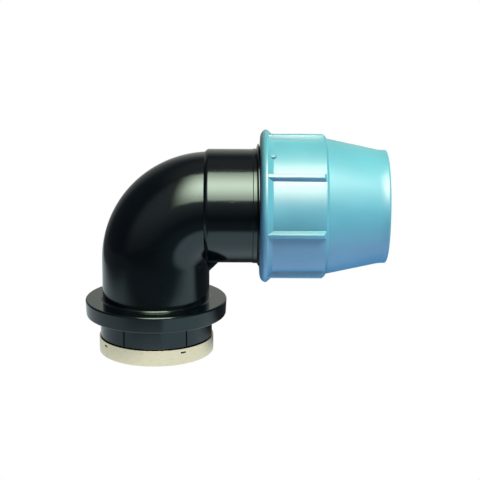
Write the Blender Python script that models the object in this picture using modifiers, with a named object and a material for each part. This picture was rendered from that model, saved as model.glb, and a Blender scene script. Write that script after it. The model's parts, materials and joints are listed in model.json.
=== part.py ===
"""A 90 degree compression elbow: one compression end for a plastic pipe, one female threaded end.

Metres, +Z up. The origin is the centre of the threaded end's lower face, +Z runs up the threaded socket,
and +X runs out of the compression nut.
"""

from math import cos, pi, radians, sin, tan

import bmesh
import bpy
from mathutils import Matrix, Vector

MM = 0.001
SEGMENTS = 36
INNER_SEGMENTS = 32
BEND_STEPS = 9
FILLET_STEPS = 3
SMALL_FILLET = 3.5 * MM
FILLET_REACH = 0.45

# Clearances
REST_GAP = 0.3 * MM
CONE_CLEARANCE = 0.4 * MM
PIPE_CLEARANCE = 0.5 * MM
THREAD_CLEARANCE = 0.5 * MM
EMBED = 1.0 * MM

# The pipe and the swept bend
PIPE_RADIUS = 55.0 * MM
STOP_STEP = 4.9 * MM
TUBE_WALL = 9.3 * MM
THROAT_RADIUS = 1.1 * MM
LEG_LENGTH = 44.7 * MM

# The female threaded end, a 4 inch parallel pipe thread cut to its minor radius
FEMALE_MINOR_RADIUS = 55.04 * MM
FEMALE_MAJOR_RADIUS = 56.52 * MM
FEMALE_DEPTH = 38.0 * MM
FEMALE_LEAD_IN = 1.6 * MM
SPIGOT_WALL = 6.2 * MM
SPIGOT_HEIGHT = 42.5 * MM
SPIGOT_GROOVE_WIDTH = 1.8 * MM
SPIGOT_GROOVE_DEPTH = 1.5 * MM
SPIGOT_GROOVE_MARGIN = 1.0 * MM
SPIGOT_GROOVE_ANGLES = (-31.0, 35.0, 149.0, 215.0)
DISC_RADIUS = 79.3 * MM
DISC_THICKNESS = 18.1 * MM
DISC_DRAFT = 1.0 * MM
DISC_EDGE_RADIUS = 1.8 * MM
DISC_ROOT_FILLET = 4.0 * MM

# The steel ring round the threaded end
RING_HEIGHT = 18.1 * MM
RING_THICKNESS = 1.5 * MM
RING_LIP = 3.0 * MM
RING_SEAT_DEPTH = 0.25 * MM
RING_RELIEF_DEPTH = 1.3 * MM
RING_RELIEF_HEIGHT = 1.2 * MM
RING_EDGE_RADIUS = 1.4 * MM
RING_SLOT_ANGLES = (-57.0, 30.5, 123.0, 210.5)
RING_SLOT_DROP = 4.2 * MM
RING_SLOT_WIDTH = 6.2 * MM
RING_SLOT_HEIGHT = 1.9 * MM
RING_SLOT_DEPTH = 2.0 * MM

# The pipe socket
COLLAR_WALL = 7.3 * MM
COLLAR_OVERLAP = 6.2 * MM
COLLAR_EDGE_RADIUS = 5.0 * MM
STOP_OFFSET = 3.0 * MM
SOCKET_LENGTH = 104.0 * MM
BAND_STEP = 0.6 * MM
BAND_LENGTH = 4.3 * MM
BAND_SHOULDER = 1.5 * MM
WEB_LEG = 11.6 * MM
WEB_THICKNESS = 6.0 * MM

# The coarse thread between body and nut
THREAD_PITCH = 6.0 * MM
THREAD_HEIGHT = 3.2 * MM
THREAD_CREST = 1.5 * MM
THREAD_ROOT = 3.5 * MM
THREAD_TURNS = 5.5
THREAD_START_ANGLE = 130.0
THREAD_RUN_OUT = 60.0
THREAD_END_SIZE = 0.1
PILOT_LENGTH = 19.4 * MM
NUT_THREAD_TURNS = 4.0
NUT_THREAD_INSET = 6.0 * MM

# The seal and the bush
SEAL_CORD_RADIUS = 3.0 * MM
SEAL_BORE_CLEARANCE = 0.2 * MM
SEAL_BORE_DEPTH = 15.0 * MM
SEAL_WALL = 4.7 * MM
BUSH_STAND_OFF = 1.5 * MM
BUSH_FLANGE_THICKNESS = 5.5 * MM
BUSH_FLANGE_STEP = 4.0 * MM
BUSH_CHAMFER = 1.5 * MM

# The split grip ring
GRIP_BACK_LENGTH = 15.7 * MM
GRIP_BACK_CHAMFER = 5.0 * MM
GRIP_CONE_LENGTH = 50.0 * MM
GRIP_TOOTH_COUNT = 6
GRIP_TOOTH_PITCH = 7.5 * MM
GRIP_TOOTH_DEPTH = 1.5 * MM
GRIP_TOOTH_FACE = 0.4 * MM
GRIP_TEETH_SETBACK = 3.75 * MM
GRIP_SLOT_WIDTH = 9.0 * MM

# The compression nut
NUT_BARREL_LENGTH = 72.5 * MM
NUT_PANEL_WALL = 9.3 * MM
NUT_PANEL_DRAFT = 0.5 * MM
NUT_PANEL_CHAMFER = 1.6 * MM
NUT_PANEL_SETBACK = 2.4 * MM
NUT_NOSE_WALL = 5.0 * MM
NUT_TAPER = 11.4
NUT_CONE_LENGTH = 53.0 * MM
NUT_END_LAND = 5.0 * MM
NUT_MOUTH_LENGTH = 13.8 * MM
NUT_MOUTH_CLEARANCE = 1.0 * MM
NUT_MOUTH_CHAMFER = 1.6 * MM
NUT_END_RADIUS = 2.6 * MM
NUT_FLANGE_HEIGHT = 5.1 * MM
NUT_FLANGE_WIDTH = 7.5 * MM
NUT_FLANGE_SLOPE = 6.0 * MM
NUT_FLANGE_FACE = 7.5 * MM
NUT_FLANGE_RISE = 4.1 * MM
NUT_FLANGE_EDGE_RADIUS = 3.0 * MM
NUT_ENTRY_CHAMFER = 1.5 * MM
RIB_COUNT = 8
RIB_PHASE = 10.0
RIB_HEIGHT = 4.8 * MM
RIB_TOP_WIDTH = 4.2 * MM
RIB_FOOT_WIDTH = 9.0 * MM
RIB_END_SETBACK = 2.5 * MM
LUG_RADIUS = 4.5 * MM
LUG_TOP_RADIUS = 4.0 * MM
LUG_HEIGHT = 3.0 * MM
LUG_ANGLE = 215.5
LUG_OFFSET = 13.0 * MM

# The body's radii and heights
SOCKET_BORE_RADIUS = PIPE_RADIUS + PIPE_CLEARANCE
BEND_BORE_RADIUS = SOCKET_BORE_RADIUS - STOP_STEP
TUBE_RADIUS = BEND_BORE_RADIUS + TUBE_WALL
BEND_RADIUS = TUBE_RADIUS + THROAT_RADIUS
DISC_TOP = SPIGOT_HEIGHT + DISC_THICKNESS
BEND_START_HEIGHT = DISC_TOP + LEG_LENGTH
AXIS_HEIGHT = BEND_START_HEIGHT + BEND_RADIUS
SPIGOT_RADIUS = FEMALE_MAJOR_RADIUS + SPIGOT_WALL
COLLAR_RADIUS = SOCKET_BORE_RADIUS + COLLAR_WALL
BAND_RADIUS = COLLAR_RADIUS + BAND_STEP
RING_SEAT_RADIUS = SPIGOT_RADIUS - RING_SEAT_DEPTH
RING_INNER_RADIUS = RING_SEAT_RADIUS + REST_GAP
RING_RADIUS = RING_INNER_RADIUS + RING_THICKNESS
SPIGOT_BOTTOM = RING_THICKNESS + REST_GAP

# The places along the pipe's axis
COLLAR_START = BEND_RADIUS - COLLAR_OVERLAP
STOP_PLACE = BEND_RADIUS + STOP_OFFSET
BODY_END = BEND_RADIUS + SOCKET_LENGTH
THREAD_START = BODY_END - PILOT_LENGTH - THREAD_TURNS * THREAD_PITCH
SEAL_LEDGE = BODY_END - SEAL_BORE_DEPTH
SEAL_PLACE = SEAL_LEDGE + REST_GAP + SEAL_CORD_RADIUS
BUSH_START = SEAL_PLACE + SEAL_CORD_RADIUS + REST_GAP
BUSH_FLANGE_START = BODY_END + BUSH_STAND_OFF
BUSH_END = BUSH_FLANGE_START + BUSH_FLANGE_THICKNESS
GRIP_START = BUSH_END + REST_GAP
CONE_START = GRIP_START + GRIP_BACK_LENGTH
NUT_START = CONE_START - NUT_BARREL_LENGTH

# The radii round the pipe's axis
SEAL_RING_RADIUS = PIPE_RADIUS + SEAL_BORE_CLEARANCE + SEAL_CORD_RADIUS
SEAL_BORE_RADIUS = SEAL_RING_RADIUS + SEAL_CORD_RADIUS + REST_GAP
THREAD_ROOT_RADIUS = SEAL_BORE_RADIUS + SEAL_WALL
THREAD_CREST_RADIUS = THREAD_ROOT_RADIUS + THREAD_HEIGHT
BUSH_RADIUS = SEAL_BORE_RADIUS - REST_GAP
NUT_BORE_RADIUS = THREAD_CREST_RADIUS + THREAD_CLEARANCE
NUT_PANEL_RADIUS = NUT_BORE_RADIUS + NUT_PANEL_WALL
NUT_NOSE_RADIUS = NUT_BORE_RADIUS + NUT_NOSE_WALL
NUT_MOUTH_RADIUS = PIPE_RADIUS + NUT_MOUTH_CLEARANCE


def clear_scene():
    for obj in list(bpy.data.objects):
        bpy.data.objects.remove(obj, do_unlink=True)


def new_collection(name):
    collection = bpy.data.collections.new(name)
    bpy.context.scene.collection.children.link(collection)
    return collection


def new_material(name, colour, roughness, metallic=0.0):
    material = bpy.data.materials.new(name)
    material.use_nodes = True
    shader = material.node_tree.nodes["Principled BSDF"]
    shader.inputs["Base Color"].default_value = (*colour, 1.0)
    shader.inputs["Roughness"].default_value = roughness
    shader.inputs["Metallic"].default_value = metallic
    return material


def new_object(name, mesh, collection):
    obj = bpy.data.objects.new(name, mesh)
    collection.objects.link(obj)
    return obj


def mesh_from(name, bm):
    bmesh.ops.recalc_face_normals(bm, faces=bm.faces)
    mesh = bpy.data.meshes.new(name)
    bm.to_mesh(mesh)
    bm.free()
    return mesh


def as_helper(obj):
    """A cutter, or a form that a Boolean joins to its carrier."""
    obj.display_type = "WIRE"
    obj.hide_render = True
    return obj


def boolean(obj, other, operation):
    modifier = obj.modifiers.new(f"{operation.lower()} {other.name}", "BOOLEAN")
    modifier.operation = operation
    modifier.object = other
    modifier.solver = "EXACT"


def shade_round(obj, material):
    obj.data.materials.append(material)
    obj.data.shade_smooth()
    obj.data.set_sharp_from_angle(angle=radians(30))


def put_on_pipe_axis(obj, place):
    """Stands a piece that was turned about Z on the pipe's axis, its +Z along the object's +X."""
    obj.location = (place, 0.0, AXIS_HEIGHT)
    obj.rotation_euler = (0.0, pi / 2, 0.0)


def rounded(outline, closed=False):
    """The outline's points, with an arc at each point that gives a fillet radius as its third value."""
    count = len(outline)
    points = []
    for i, corner in enumerate(outline):
        here = Vector(corner[:2])
        ends_here = not closed and i in (0, count - 1)
        if len(corner) < 3 or ends_here:
            points.append((here.x, here.y))
            continue
        before = Vector(outline[i - 1][:2]) - here
        after = Vector(outline[(i + 1) % count][:2]) - here
        half_angle = before.angle(after) / 2
        reach = min(corner[2] / tan(half_angle), FILLET_REACH * before.length, FILLET_REACH * after.length)
        radius = reach * tan(half_angle)
        middle = (before.normalized() + after.normalized()).normalized()
        centre = here + middle * (radius / sin(half_angle))
        first = here + before.normalized() * reach - centre
        last = here + after.normalized() * reach - centre
        sweep = first.angle_signed(last)
        steps = FILLET_STEPS if radius > SMALL_FILLET else FILLET_STEPS - 1
        for step in range(steps + 1):
            spoke = Matrix.Rotation(-sweep * step / steps, 2) @ first
            points.append((centre.x + spoke.x, centre.y + spoke.y))
    return points


def turned(name, outline, collection, segments=SEGMENTS):
    """A closed outline of (radius, height) turned about Z. It runs down its outer side and up its inner side."""
    bm = bmesh.new()
    verts = [bm.verts.new((radius, 0.0, height)) for radius, height in outline]
    for first, second in zip(verts, verts[1:] + verts[:1]):
        bm.edges.new((first, second))
    mesh = bpy.data.meshes.new(name)
    bm.to_mesh(mesh)
    bm.free()
    obj = new_object(name, mesh, collection)
    screw = obj.modifiers.new("turn", "SCREW")
    screw.axis = "Z"
    screw.steps = segments
    screw.render_steps = segments
    screw.use_merge_vertices = True
    screw.merge_threshold = 0.00001
    screw.use_normal_calculate = False
    return obj


def join_rings(bm, rings):
    """Faces between each ring of vertices and the next, and a cap on both ends."""
    count = len(rings[0])
    for lower, upper in zip(rings, rings[1:]):
        for k in range(count):
            after = (k + 1) % count
            bm.faces.new((lower[k], lower[after], upper[after], upper[k]))
    bm.faces.new(rings[0])
    bm.faces.new(rings[-1])


def lofted(name, stations, collection, segments=SEGMENTS):
    """A solid through circles. A station is (centre, direction in the XZ plane, radius)."""
    bm = bmesh.new()
    rings = []
    for centre, direction, radius in stations:
        side = Vector((0.0, 1.0, 0.0))
        across = direction.cross(side)
        spokes = [2 * pi * k / segments for k in range(segments)]
        rings.append([bm.verts.new(centre + radius * (cos(a) * side + sin(a) * across)) for a in spokes])
    join_rings(bm, rings)
    return new_object(name, mesh_from(name, bm), collection)


def upright_station(radius, height):
    return Vector((0.0, 0.0, height)), Vector((0.0, 0.0, 1.0)), radius


def level_station(radius, place):
    return Vector((place, 0.0, AXIS_HEIGHT)), Vector((1.0, 0.0, 0.0)), radius


def bend_stations(radius):
    """Circles round the quarter bend, from the leg's top to the socket's start, both ends included."""
    pivot = Vector((BEND_RADIUS, 0.0, BEND_START_HEIGHT))
    stations = []
    for step in range(BEND_STEPS + 1):
        turn = pi / 2 * step / BEND_STEPS
        spoke = Vector((-cos(turn), 0.0, sin(turn)))
        stations.append((pivot + BEND_RADIUS * spoke, Vector((sin(turn), 0.0, cos(turn))), radius))
    return stations


def helical_ridge(name, root_radius, height, sunk, turns, phase, start, collection):
    """A trapezoid ridge wound right-handed round Z, true in each axial plane.

    The ridge's middle line crosses height 0 at the angle phase. It starts near the height start, on a
    corner of the faceted wall that carries it, and is sunk into that wall. A negative height points inwards.
    """
    facet = 360.0 / SEGMENTS
    start_angle = facet * round((phase + 360.0 * start / THREAD_PITCH) / facet)
    outward = 1.0 if height > 0 else -1.0
    flank = (THREAD_ROOT - THREAD_CREST) / 2 / abs(height)
    foot = THREAD_ROOT / 2 + EMBED * flank
    side = [(-EMBED, foot), (abs(height), THREAD_CREST / 2)]
    if sunk > EMBED:
        side.insert(0, (-sunk, foot))
    section = [(rise, -along) for rise, along in side] + side[::-1]
    bm = bmesh.new()
    rings = []
    for step in range(round(turns * SEGMENTS) + 1):
        turned_by = facet * step
        angle = radians(start_angle + turned_by)
        middle = THREAD_PITCH * (start_angle - phase + turned_by) / 360.0
        from_end = min(turned_by, 360.0 * turns - turned_by)
        fade = min(1.0, THREAD_END_SIZE + (1.0 - THREAD_END_SIZE) * from_end / THREAD_RUN_OUT)
        ring = []
        for rise, along in section:
            radius = root_radius + outward * ((rise + sunk) * fade - sunk)
            ring.append(bm.verts.new((radius * cos(angle), radius * sin(angle), middle + along * fade)))
        rings.append(ring)
    join_rings(bm, rings)
    return as_helper(new_object(name, mesh_from(name, bm), collection))


def block(name, corners, collection):
    """A six-sided solid from a cube, with corners(x, y, z) giving the place of each cube corner, -1 or 1 a side."""
    bm = bmesh.new()
    bmesh.ops.create_cube(bm, size=2.0)
    for vert in bm.verts:
        vert.co = Vector(corners(round(vert.co.x), round(vert.co.y), round(vert.co.z)))
    return as_helper(new_object(name, mesh_from(name, bm), collection))


def repeated(obj, angles):
    """Turns copies of a helper's mesh about its own Z, all kept in the one mesh."""
    source = obj.data.copy()
    bm = bmesh.new()
    for angle in angles:
        copy = source.copy()
        copy.transform(Matrix.Rotation(radians(angle), 4, "Z"))
        bm.from_mesh(copy)
        bpy.data.meshes.remove(copy)
    bm.to_mesh(obj.data)
    bm.free()
    bpy.data.meshes.remove(source)
    return obj


def make_elbow_body(parts, helpers, material):
    """The black moulding: spigot, disc, leg and bend as one loft, then collar, web and thread joined on."""
    groove_top = RING_HEIGHT + RING_RELIEF_HEIGHT
    relief_radius = SPIGOT_RADIUS - RING_RELIEF_DEPTH
    disc_low_radius = DISC_RADIUS - DISC_DRAFT
    foot_chamfer = RING_THICKNESS
    lower = rounded(
        (
            (RING_SEAT_RADIUS - foot_chamfer, SPIGOT_BOTTOM),
            (RING_SEAT_RADIUS, SPIGOT_BOTTOM + foot_chamfer),
            (RING_SEAT_RADIUS, RING_HEIGHT - REST_GAP),
            (relief_radius, RING_HEIGHT - REST_GAP),
            (relief_radius, groove_top),
            (SPIGOT_RADIUS, groove_top),
            (SPIGOT_RADIUS, SPIGOT_HEIGHT),
            (disc_low_radius, SPIGOT_HEIGHT, DISC_EDGE_RADIUS),
            (DISC_RADIUS, DISC_TOP, DISC_EDGE_RADIUS),
            (TUBE_RADIUS, DISC_TOP, DISC_ROOT_FILLET),
            (TUBE_RADIUS, BEND_START_HEIGHT),
        )
    )
    stations = [upright_station(radius, height) for radius, height in lower[:-1]]
    stations += bend_stations(TUBE_RADIUS)
    stations.append(level_station(TUBE_RADIUS, STOP_PLACE))
    body = lofted("elbow_body", stations, parts)

    boolean(body, make_collar(helpers), "UNION")
    boolean(body, make_throat_web(helpers), "UNION")
    ridge = helical_ridge(
        "body_thread", THREAD_ROOT_RADIUS, THREAD_HEIGHT, THREAD_ROOT_RADIUS - BAND_RADIUS + EMBED,
        THREAD_TURNS, THREAD_START_ANGLE, 0.0, helpers,
    )
    put_on_pipe_axis(ridge, THREAD_START)
    boolean(body, ridge, "UNION")
    boolean(body, make_passage(helpers), "DIFFERENCE")
    boolean(body, make_spigot_grooves(helpers), "DIFFERENCE")
    shade_round(body, material)
    return body


def make_collar(helpers):
    """The socket's outside, from its sloping start to the pilot in front of the thread."""
    overlap = 2 * EMBED
    slope = COLLAR_RADIUS - TUBE_RADIUS + overlap
    band_start = THREAD_START - BAND_LENGTH
    outline = rounded(
        (
            (THREAD_ROOT_RADIUS, BODY_END, EMBED),
            (THREAD_ROOT_RADIUS, THREAD_START + BAND_SHOULDER),
            (BAND_RADIUS, THREAD_START),
            (BAND_RADIUS, band_start),
            (COLLAR_RADIUS, band_start - BAND_STEP),
            (COLLAR_RADIUS, COLLAR_START - overlap + slope, COLLAR_EDGE_RADIUS),
            (TUBE_RADIUS - overlap, COLLAR_START - overlap),
            (BEND_BORE_RADIUS - EMBED, COLLAR_START - overlap),
            (BEND_BORE_RADIUS - EMBED, BODY_END),
        ),
        closed=True,
    )
    collar = as_helper(turned("socket_collar", [(radius, place - BODY_END) for radius, place in outline], helpers))
    put_on_pipe_axis(collar, BODY_END)
    return collar


def make_throat_web(helpers):
    """The small triangular web where the collar's underside meets the leg."""
    leg_face = TUBE_RADIUS
    collar_face = AXIS_HEIGHT - COLLAR_RADIUS
    sunk = 2 * EMBED
    corners = (
        (leg_face - sunk, collar_face - WEB_LEG - sunk),
        (leg_face + WEB_LEG + sunk, collar_face + sunk),
        (leg_face - sunk, collar_face + sunk),
    )
    bm = bmesh.new()
    rings = []
    for side in (-WEB_THICKNESS / 2, WEB_THICKNESS / 2):
        rings.append([bm.verts.new((place, side, height)) for place, height in corners])
    join_rings(bm, rings)
    return as_helper(new_object("throat_web", mesh_from("throat_web", bm), helpers))


def make_passage(helpers):
    """The way through: female thread bore, leg, bend, pipe stop, pipe socket and seal seat, as one loft."""
    lead_radius = FEMALE_MAJOR_RADIUS + FEMALE_LEAD_IN / 2
    lower = (
        (lead_radius, -EMBED),
        (lead_radius, SPIGOT_BOTTOM),
        (FEMALE_MINOR_RADIUS, SPIGOT_BOTTOM + FEMALE_LEAD_IN),
        (FEMALE_MINOR_RADIUS, FEMALE_DEPTH),
        (BEND_BORE_RADIUS, FEMALE_DEPTH + abs(FEMALE_MINOR_RADIUS - BEND_BORE_RADIUS)),
    )
    upper = (
        (BEND_BORE_RADIUS, STOP_PLACE),
        (SOCKET_BORE_RADIUS, STOP_PLACE),
        (SOCKET_BORE_RADIUS, SEAL_LEDGE),
        (SEAL_BORE_RADIUS, SEAL_LEDGE),
        (SEAL_BORE_RADIUS, BODY_END - BUSH_CHAMFER),
        (SEAL_BORE_RADIUS + BUSH_CHAMFER + EMBED, BODY_END + EMBED),
    )
    stations = [upright_station(radius, height) for radius, height in lower]
    stations += bend_stations(BEND_BORE_RADIUS)
    stations += [level_station(radius, place) for radius, place in upper]
    return as_helper(lofted("passage", stations, helpers, INNER_SEGMENTS))


def make_spigot_grooves(helpers):
    """The narrow upright grooves between the steel ring and the disc."""
    low = RING_HEIGHT + RING_RELIEF_HEIGHT / 2
    high = SPIGOT_HEIGHT - SPIGOT_GROOVE_MARGIN

    def corners(x, y, z):
        across = SPIGOT_RADIUS + (EMBED if x > 0 else -SPIGOT_GROOVE_DEPTH)
        return across, y * SPIGOT_GROOVE_WIDTH / 2, high if z > 0 else low

    groove = block("spigot_grooves", corners, helpers)
    return repeated(groove, [angle - 90.0 for angle in SPIGOT_GROOVE_ANGLES])


def make_reinforcing_ring(parts, helpers, material):
    """The pressed steel ring, with a lip under the spigot and punched slots that hold it on."""
    outline = rounded(
        (
            (RING_INNER_RADIUS, RING_HEIGHT),
            (RING_RADIUS, RING_HEIGHT),
            (RING_RADIUS, 0.0, RING_EDGE_RADIUS),
            (RING_INNER_RADIUS - RING_LIP, 0.0),
            (RING_INNER_RADIUS - RING_LIP, RING_THICKNESS),
            (RING_INNER_RADIUS, RING_THICKNESS),
        ),
        closed=True,
    )
    ring = turned("reinforcing_ring", outline, parts)
    slot_height = RING_HEIGHT - RING_SLOT_DROP

    def corners(x, y, z):
        across = RING_RADIUS + (EMBED if x > 0 else -RING_SLOT_DEPTH)
        return across, y * RING_SLOT_WIDTH / 2, slot_height + z * RING_SLOT_HEIGHT / 2

    slots = block("ring_slots", corners, helpers)
    repeated(slots, [angle - 90.0 for angle in RING_SLOT_ANGLES])
    boolean(ring, slots, "DIFFERENCE")
    shade_round(ring, material)
    return ring


def nut_cone_radius(place):
    """The radius of the nut's inner cone at a place along the pipe's axis."""
    return NUT_BORE_RADIUS - (place - CONE_START) * tan(radians(NUT_TAPER))


def make_compression_nut(parts, helpers, material):
    cone_end = CONE_START + NUT_CONE_LENGTH
    nut_end = cone_end + NUT_MOUTH_LENGTH
    land_radius = nut_cone_radius(nut_end - NUT_END_LAND) + NUT_NOSE_WALL
    panel_end_radius = NUT_PANEL_RADIUS - NUT_PANEL_DRAFT
    flange_radius = NUT_PANEL_RADIUS + NUT_FLANGE_HEIGHT
    outline = rounded(
        (
            (land_radius, nut_end, NUT_END_RADIUS),
            (land_radius, nut_end - NUT_END_LAND),
            (NUT_NOSE_RADIUS, CONE_START),
            (panel_end_radius - NUT_PANEL_CHAMFER, CONE_START - NUT_PANEL_CHAMFER / 2),
            (panel_end_radius, CONE_START - NUT_PANEL_SETBACK),
            (NUT_PANEL_RADIUS, NUT_START + NUT_FLANGE_WIDTH + NUT_FLANGE_SLOPE),
            (flange_radius, NUT_START + NUT_FLANGE_WIDTH, NUT_FLANGE_EDGE_RADIUS),
            (flange_radius, NUT_START + NUT_FLANGE_RISE, NUT_FLANGE_EDGE_RADIUS),
            (flange_radius - NUT_FLANGE_FACE, NUT_START),
            (NUT_BORE_RADIUS + NUT_ENTRY_CHAMFER, NUT_START),
            (NUT_BORE_RADIUS, NUT_START + NUT_ENTRY_CHAMFER),
            (NUT_BORE_RADIUS, CONE_START),
            (nut_cone_radius(cone_end), cone_end),
            (NUT_MOUTH_RADIUS, cone_end),
            (NUT_MOUTH_RADIUS, nut_end - NUT_MOUTH_CHAMFER),
            (NUT_MOUTH_RADIUS + NUT_MOUTH_CHAMFER, nut_end),
        ),
        closed=True,
    )
    nut = turned("compression_nut", [(radius, place - NUT_START) for radius, place in outline], parts)
    put_on_pipe_axis(nut, NUT_START)

    for form in (make_nut_ribs(helpers), make_nut_lug(helpers), make_nut_thread(helpers)):
        form.parent = nut
        boolean(nut, form, "UNION")
    shade_round(nut, material)
    return nut


def make_nut_ribs(helpers):
    """Tapered grip ribs, from the nut's flange to the panels' sloping ends."""
    foot_radius = NUT_PANEL_RADIUS - NUT_PANEL_DRAFT - EMBED
    top_radius = NUT_PANEL_RADIUS + RIB_HEIGHT
    rib_start = NUT_FLANGE_WIDTH
    rib_end = NUT_BARREL_LENGTH - NUT_PANEL_SETBACK
    foot_spread = EMBED * (RIB_FOOT_WIDTH - RIB_TOP_WIDTH) / RIB_HEIGHT

    def corners(x, y, z):
        radius = top_radius if x > 0 else foot_radius
        width = RIB_TOP_WIDTH if x > 0 else RIB_FOOT_WIDTH + foot_spread
        end = rib_end - (RIB_END_SETBACK if x > 0 else 0.0)
        return radius, y * width / 2, end if z > 0 else rib_start

    ribs = block("nut_ribs", corners, helpers)
    return repeated(ribs, [RIB_PHASE + 360.0 * k / RIB_COUNT for k in range(RIB_COUNT)])


def make_nut_lug(helpers):
    """The small round boss in the corner of flange and panel."""
    bm = bmesh.new()
    bmesh.ops.create_cone(
        bm, cap_ends=True, segments=12, radius1=LUG_RADIUS, radius2=LUG_TOP_RADIUS, depth=LUG_HEIGHT + 2 * EMBED
    )
    middle = NUT_PANEL_RADIUS + (LUG_HEIGHT - 2 * EMBED) / 2
    bm.transform(Matrix.Translation((middle, 0.0, LUG_OFFSET)) @ Matrix.Rotation(pi / 2, 4, "Y"))
    lug = as_helper(new_object("nut_lug", mesh_from("nut_lug", bm), helpers))
    return repeated(lug, [LUG_ANGLE])


def make_nut_thread(helpers):
    """The nut's ridge, which runs in the middle of the body thread's groove."""
    phase = THREAD_START_ANGLE + 360.0 * (NUT_START - THREAD_START) / THREAD_PITCH + 180.0
    return helical_ridge(
        "nut_thread", NUT_BORE_RADIUS, -THREAD_HEIGHT, EMBED, NUT_THREAD_TURNS, phase, NUT_THREAD_INSET, helpers
    )


def make_o_ring(parts, material):
    sides = 8
    outline = []
    for k in range(sides):
        angle = -2 * pi * k / sides
        outline.append((SEAL_RING_RADIUS + SEAL_CORD_RADIUS * cos(angle), SEAL_CORD_RADIUS * sin(angle)))
    seal = turned("o_ring", outline, parts, INNER_SEGMENTS)
    put_on_pipe_axis(seal, SEAL_PLACE)
    shade_round(seal, material)
    return seal


def make_thrust_bush(parts, material):
    """The flanged bush between the seal and the grip ring."""
    outline = (
        (BUSH_RADIUS + BUSH_FLANGE_STEP, BUSH_END - BUSH_CHAMFER),
        (BUSH_RADIUS + BUSH_FLANGE_STEP, BUSH_FLANGE_START),
        (BUSH_RADIUS, BUSH_FLANGE_START),
        (BUSH_RADIUS, BUSH_START),
        (SOCKET_BORE_RADIUS, BUSH_START),
        (SOCKET_BORE_RADIUS, BUSH_END - BUSH_CHAMFER),
        (SOCKET_BORE_RADIUS + BUSH_CHAMFER, BUSH_END),
        (BUSH_RADIUS + BUSH_FLANGE_STEP - BUSH_CHAMFER, BUSH_END),
    )
    local = [(radius, place - BUSH_START) for radius, place in outline]
    bush = turned("thrust_bush", local, parts, INNER_SEGMENTS)
    put_on_pipe_axis(bush, BUSH_START)
    shade_round(bush, material)
    return bush


def make_grip_ring(parts, helpers, material):
    """The split ring: a cone outside that the nut closes, saw teeth inside that lean against the pipe's pull."""
    grip_end = CONE_START + GRIP_CONE_LENGTH
    back_radius = nut_cone_radius(CONE_START) - CONE_CLEARANCE
    teeth_start = grip_end - GRIP_TEETH_SETBACK - GRIP_TOOTH_COUNT * GRIP_TOOTH_PITCH
    tip_radius = PIPE_RADIUS + REST_GAP
    root_radius = tip_radius + GRIP_TOOTH_DEPTH
    outline = [
        (nut_cone_radius(grip_end) - CONE_CLEARANCE, grip_end),
        (back_radius, CONE_START),
        (back_radius, GRIP_START + GRIP_BACK_CHAMFER),
        (back_radius - GRIP_BACK_CHAMFER, GRIP_START),
        (root_radius, GRIP_START),
    ]
    for k in range(GRIP_TOOTH_COUNT):
        tooth = teeth_start + k * GRIP_TOOTH_PITCH
        outline += [(root_radius, tooth), (tip_radius, tooth + GRIP_TOOTH_FACE)]
    outline += [(root_radius, teeth_start + GRIP_TOOTH_COUNT * GRIP_TOOTH_PITCH), (root_radius, grip_end)]
    local = [(radius, place - GRIP_START) for radius, place in outline]
    ring = turned("grip_ring", local, parts, INNER_SEGMENTS)
    put_on_pipe_axis(ring, GRIP_START)
    length = grip_end - GRIP_START

    def corners(x, y, z):
        across = back_radius + EMBED if x > 0 else tip_radius - EMBED
        return across, y * GRIP_SLOT_WIDTH / 2, length + EMBED if z > 0 else -EMBED

    slot = block("grip_slot", corners, helpers)
    slot.parent = ring
    boolean(ring, slot, "DIFFERENCE")
    shade_round(ring, material)
    return ring


def main():
    clear_scene()
    parts = new_collection("compression_elbow")
    helpers = new_collection("helpers")
    helpers.hide_render = True
    black = new_material("black moulding", (0.012, 0.014, 0.018), 0.35)
    blue = new_material("blue moulding", (0.13, 0.47, 0.60), 0.3)
    steel = new_material("satin steel", (0.72, 0.71, 0.62), 0.35, 1.0)
    white = new_material("white moulding", (0.82, 0.82, 0.78), 0.45)
    rubber = new_material("black rubber", (0.02, 0.02, 0.02), 0.7)
    make_elbow_body(parts, helpers, black)
    make_reinforcing_ring(parts, helpers, steel)
    make_o_ring(parts, rubber)
    make_thrust_bush(parts, black)
    make_grip_ring(parts, helpers, white)
    make_compression_nut(parts, helpers, blue)


main()
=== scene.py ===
"""Looks for a compression elbow: mouldings, steel ring, seal and studio.

The file is laid out as an add-on and run as a script. Lengths are in metres. +Z runs up the threaded socket
and +X out of the compression nut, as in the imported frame.
"""

import json
from math import ceil, cos, pi, radians, sin, tan

import bmesh
import bpy
from mathutils import Matrix, Vector


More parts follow.
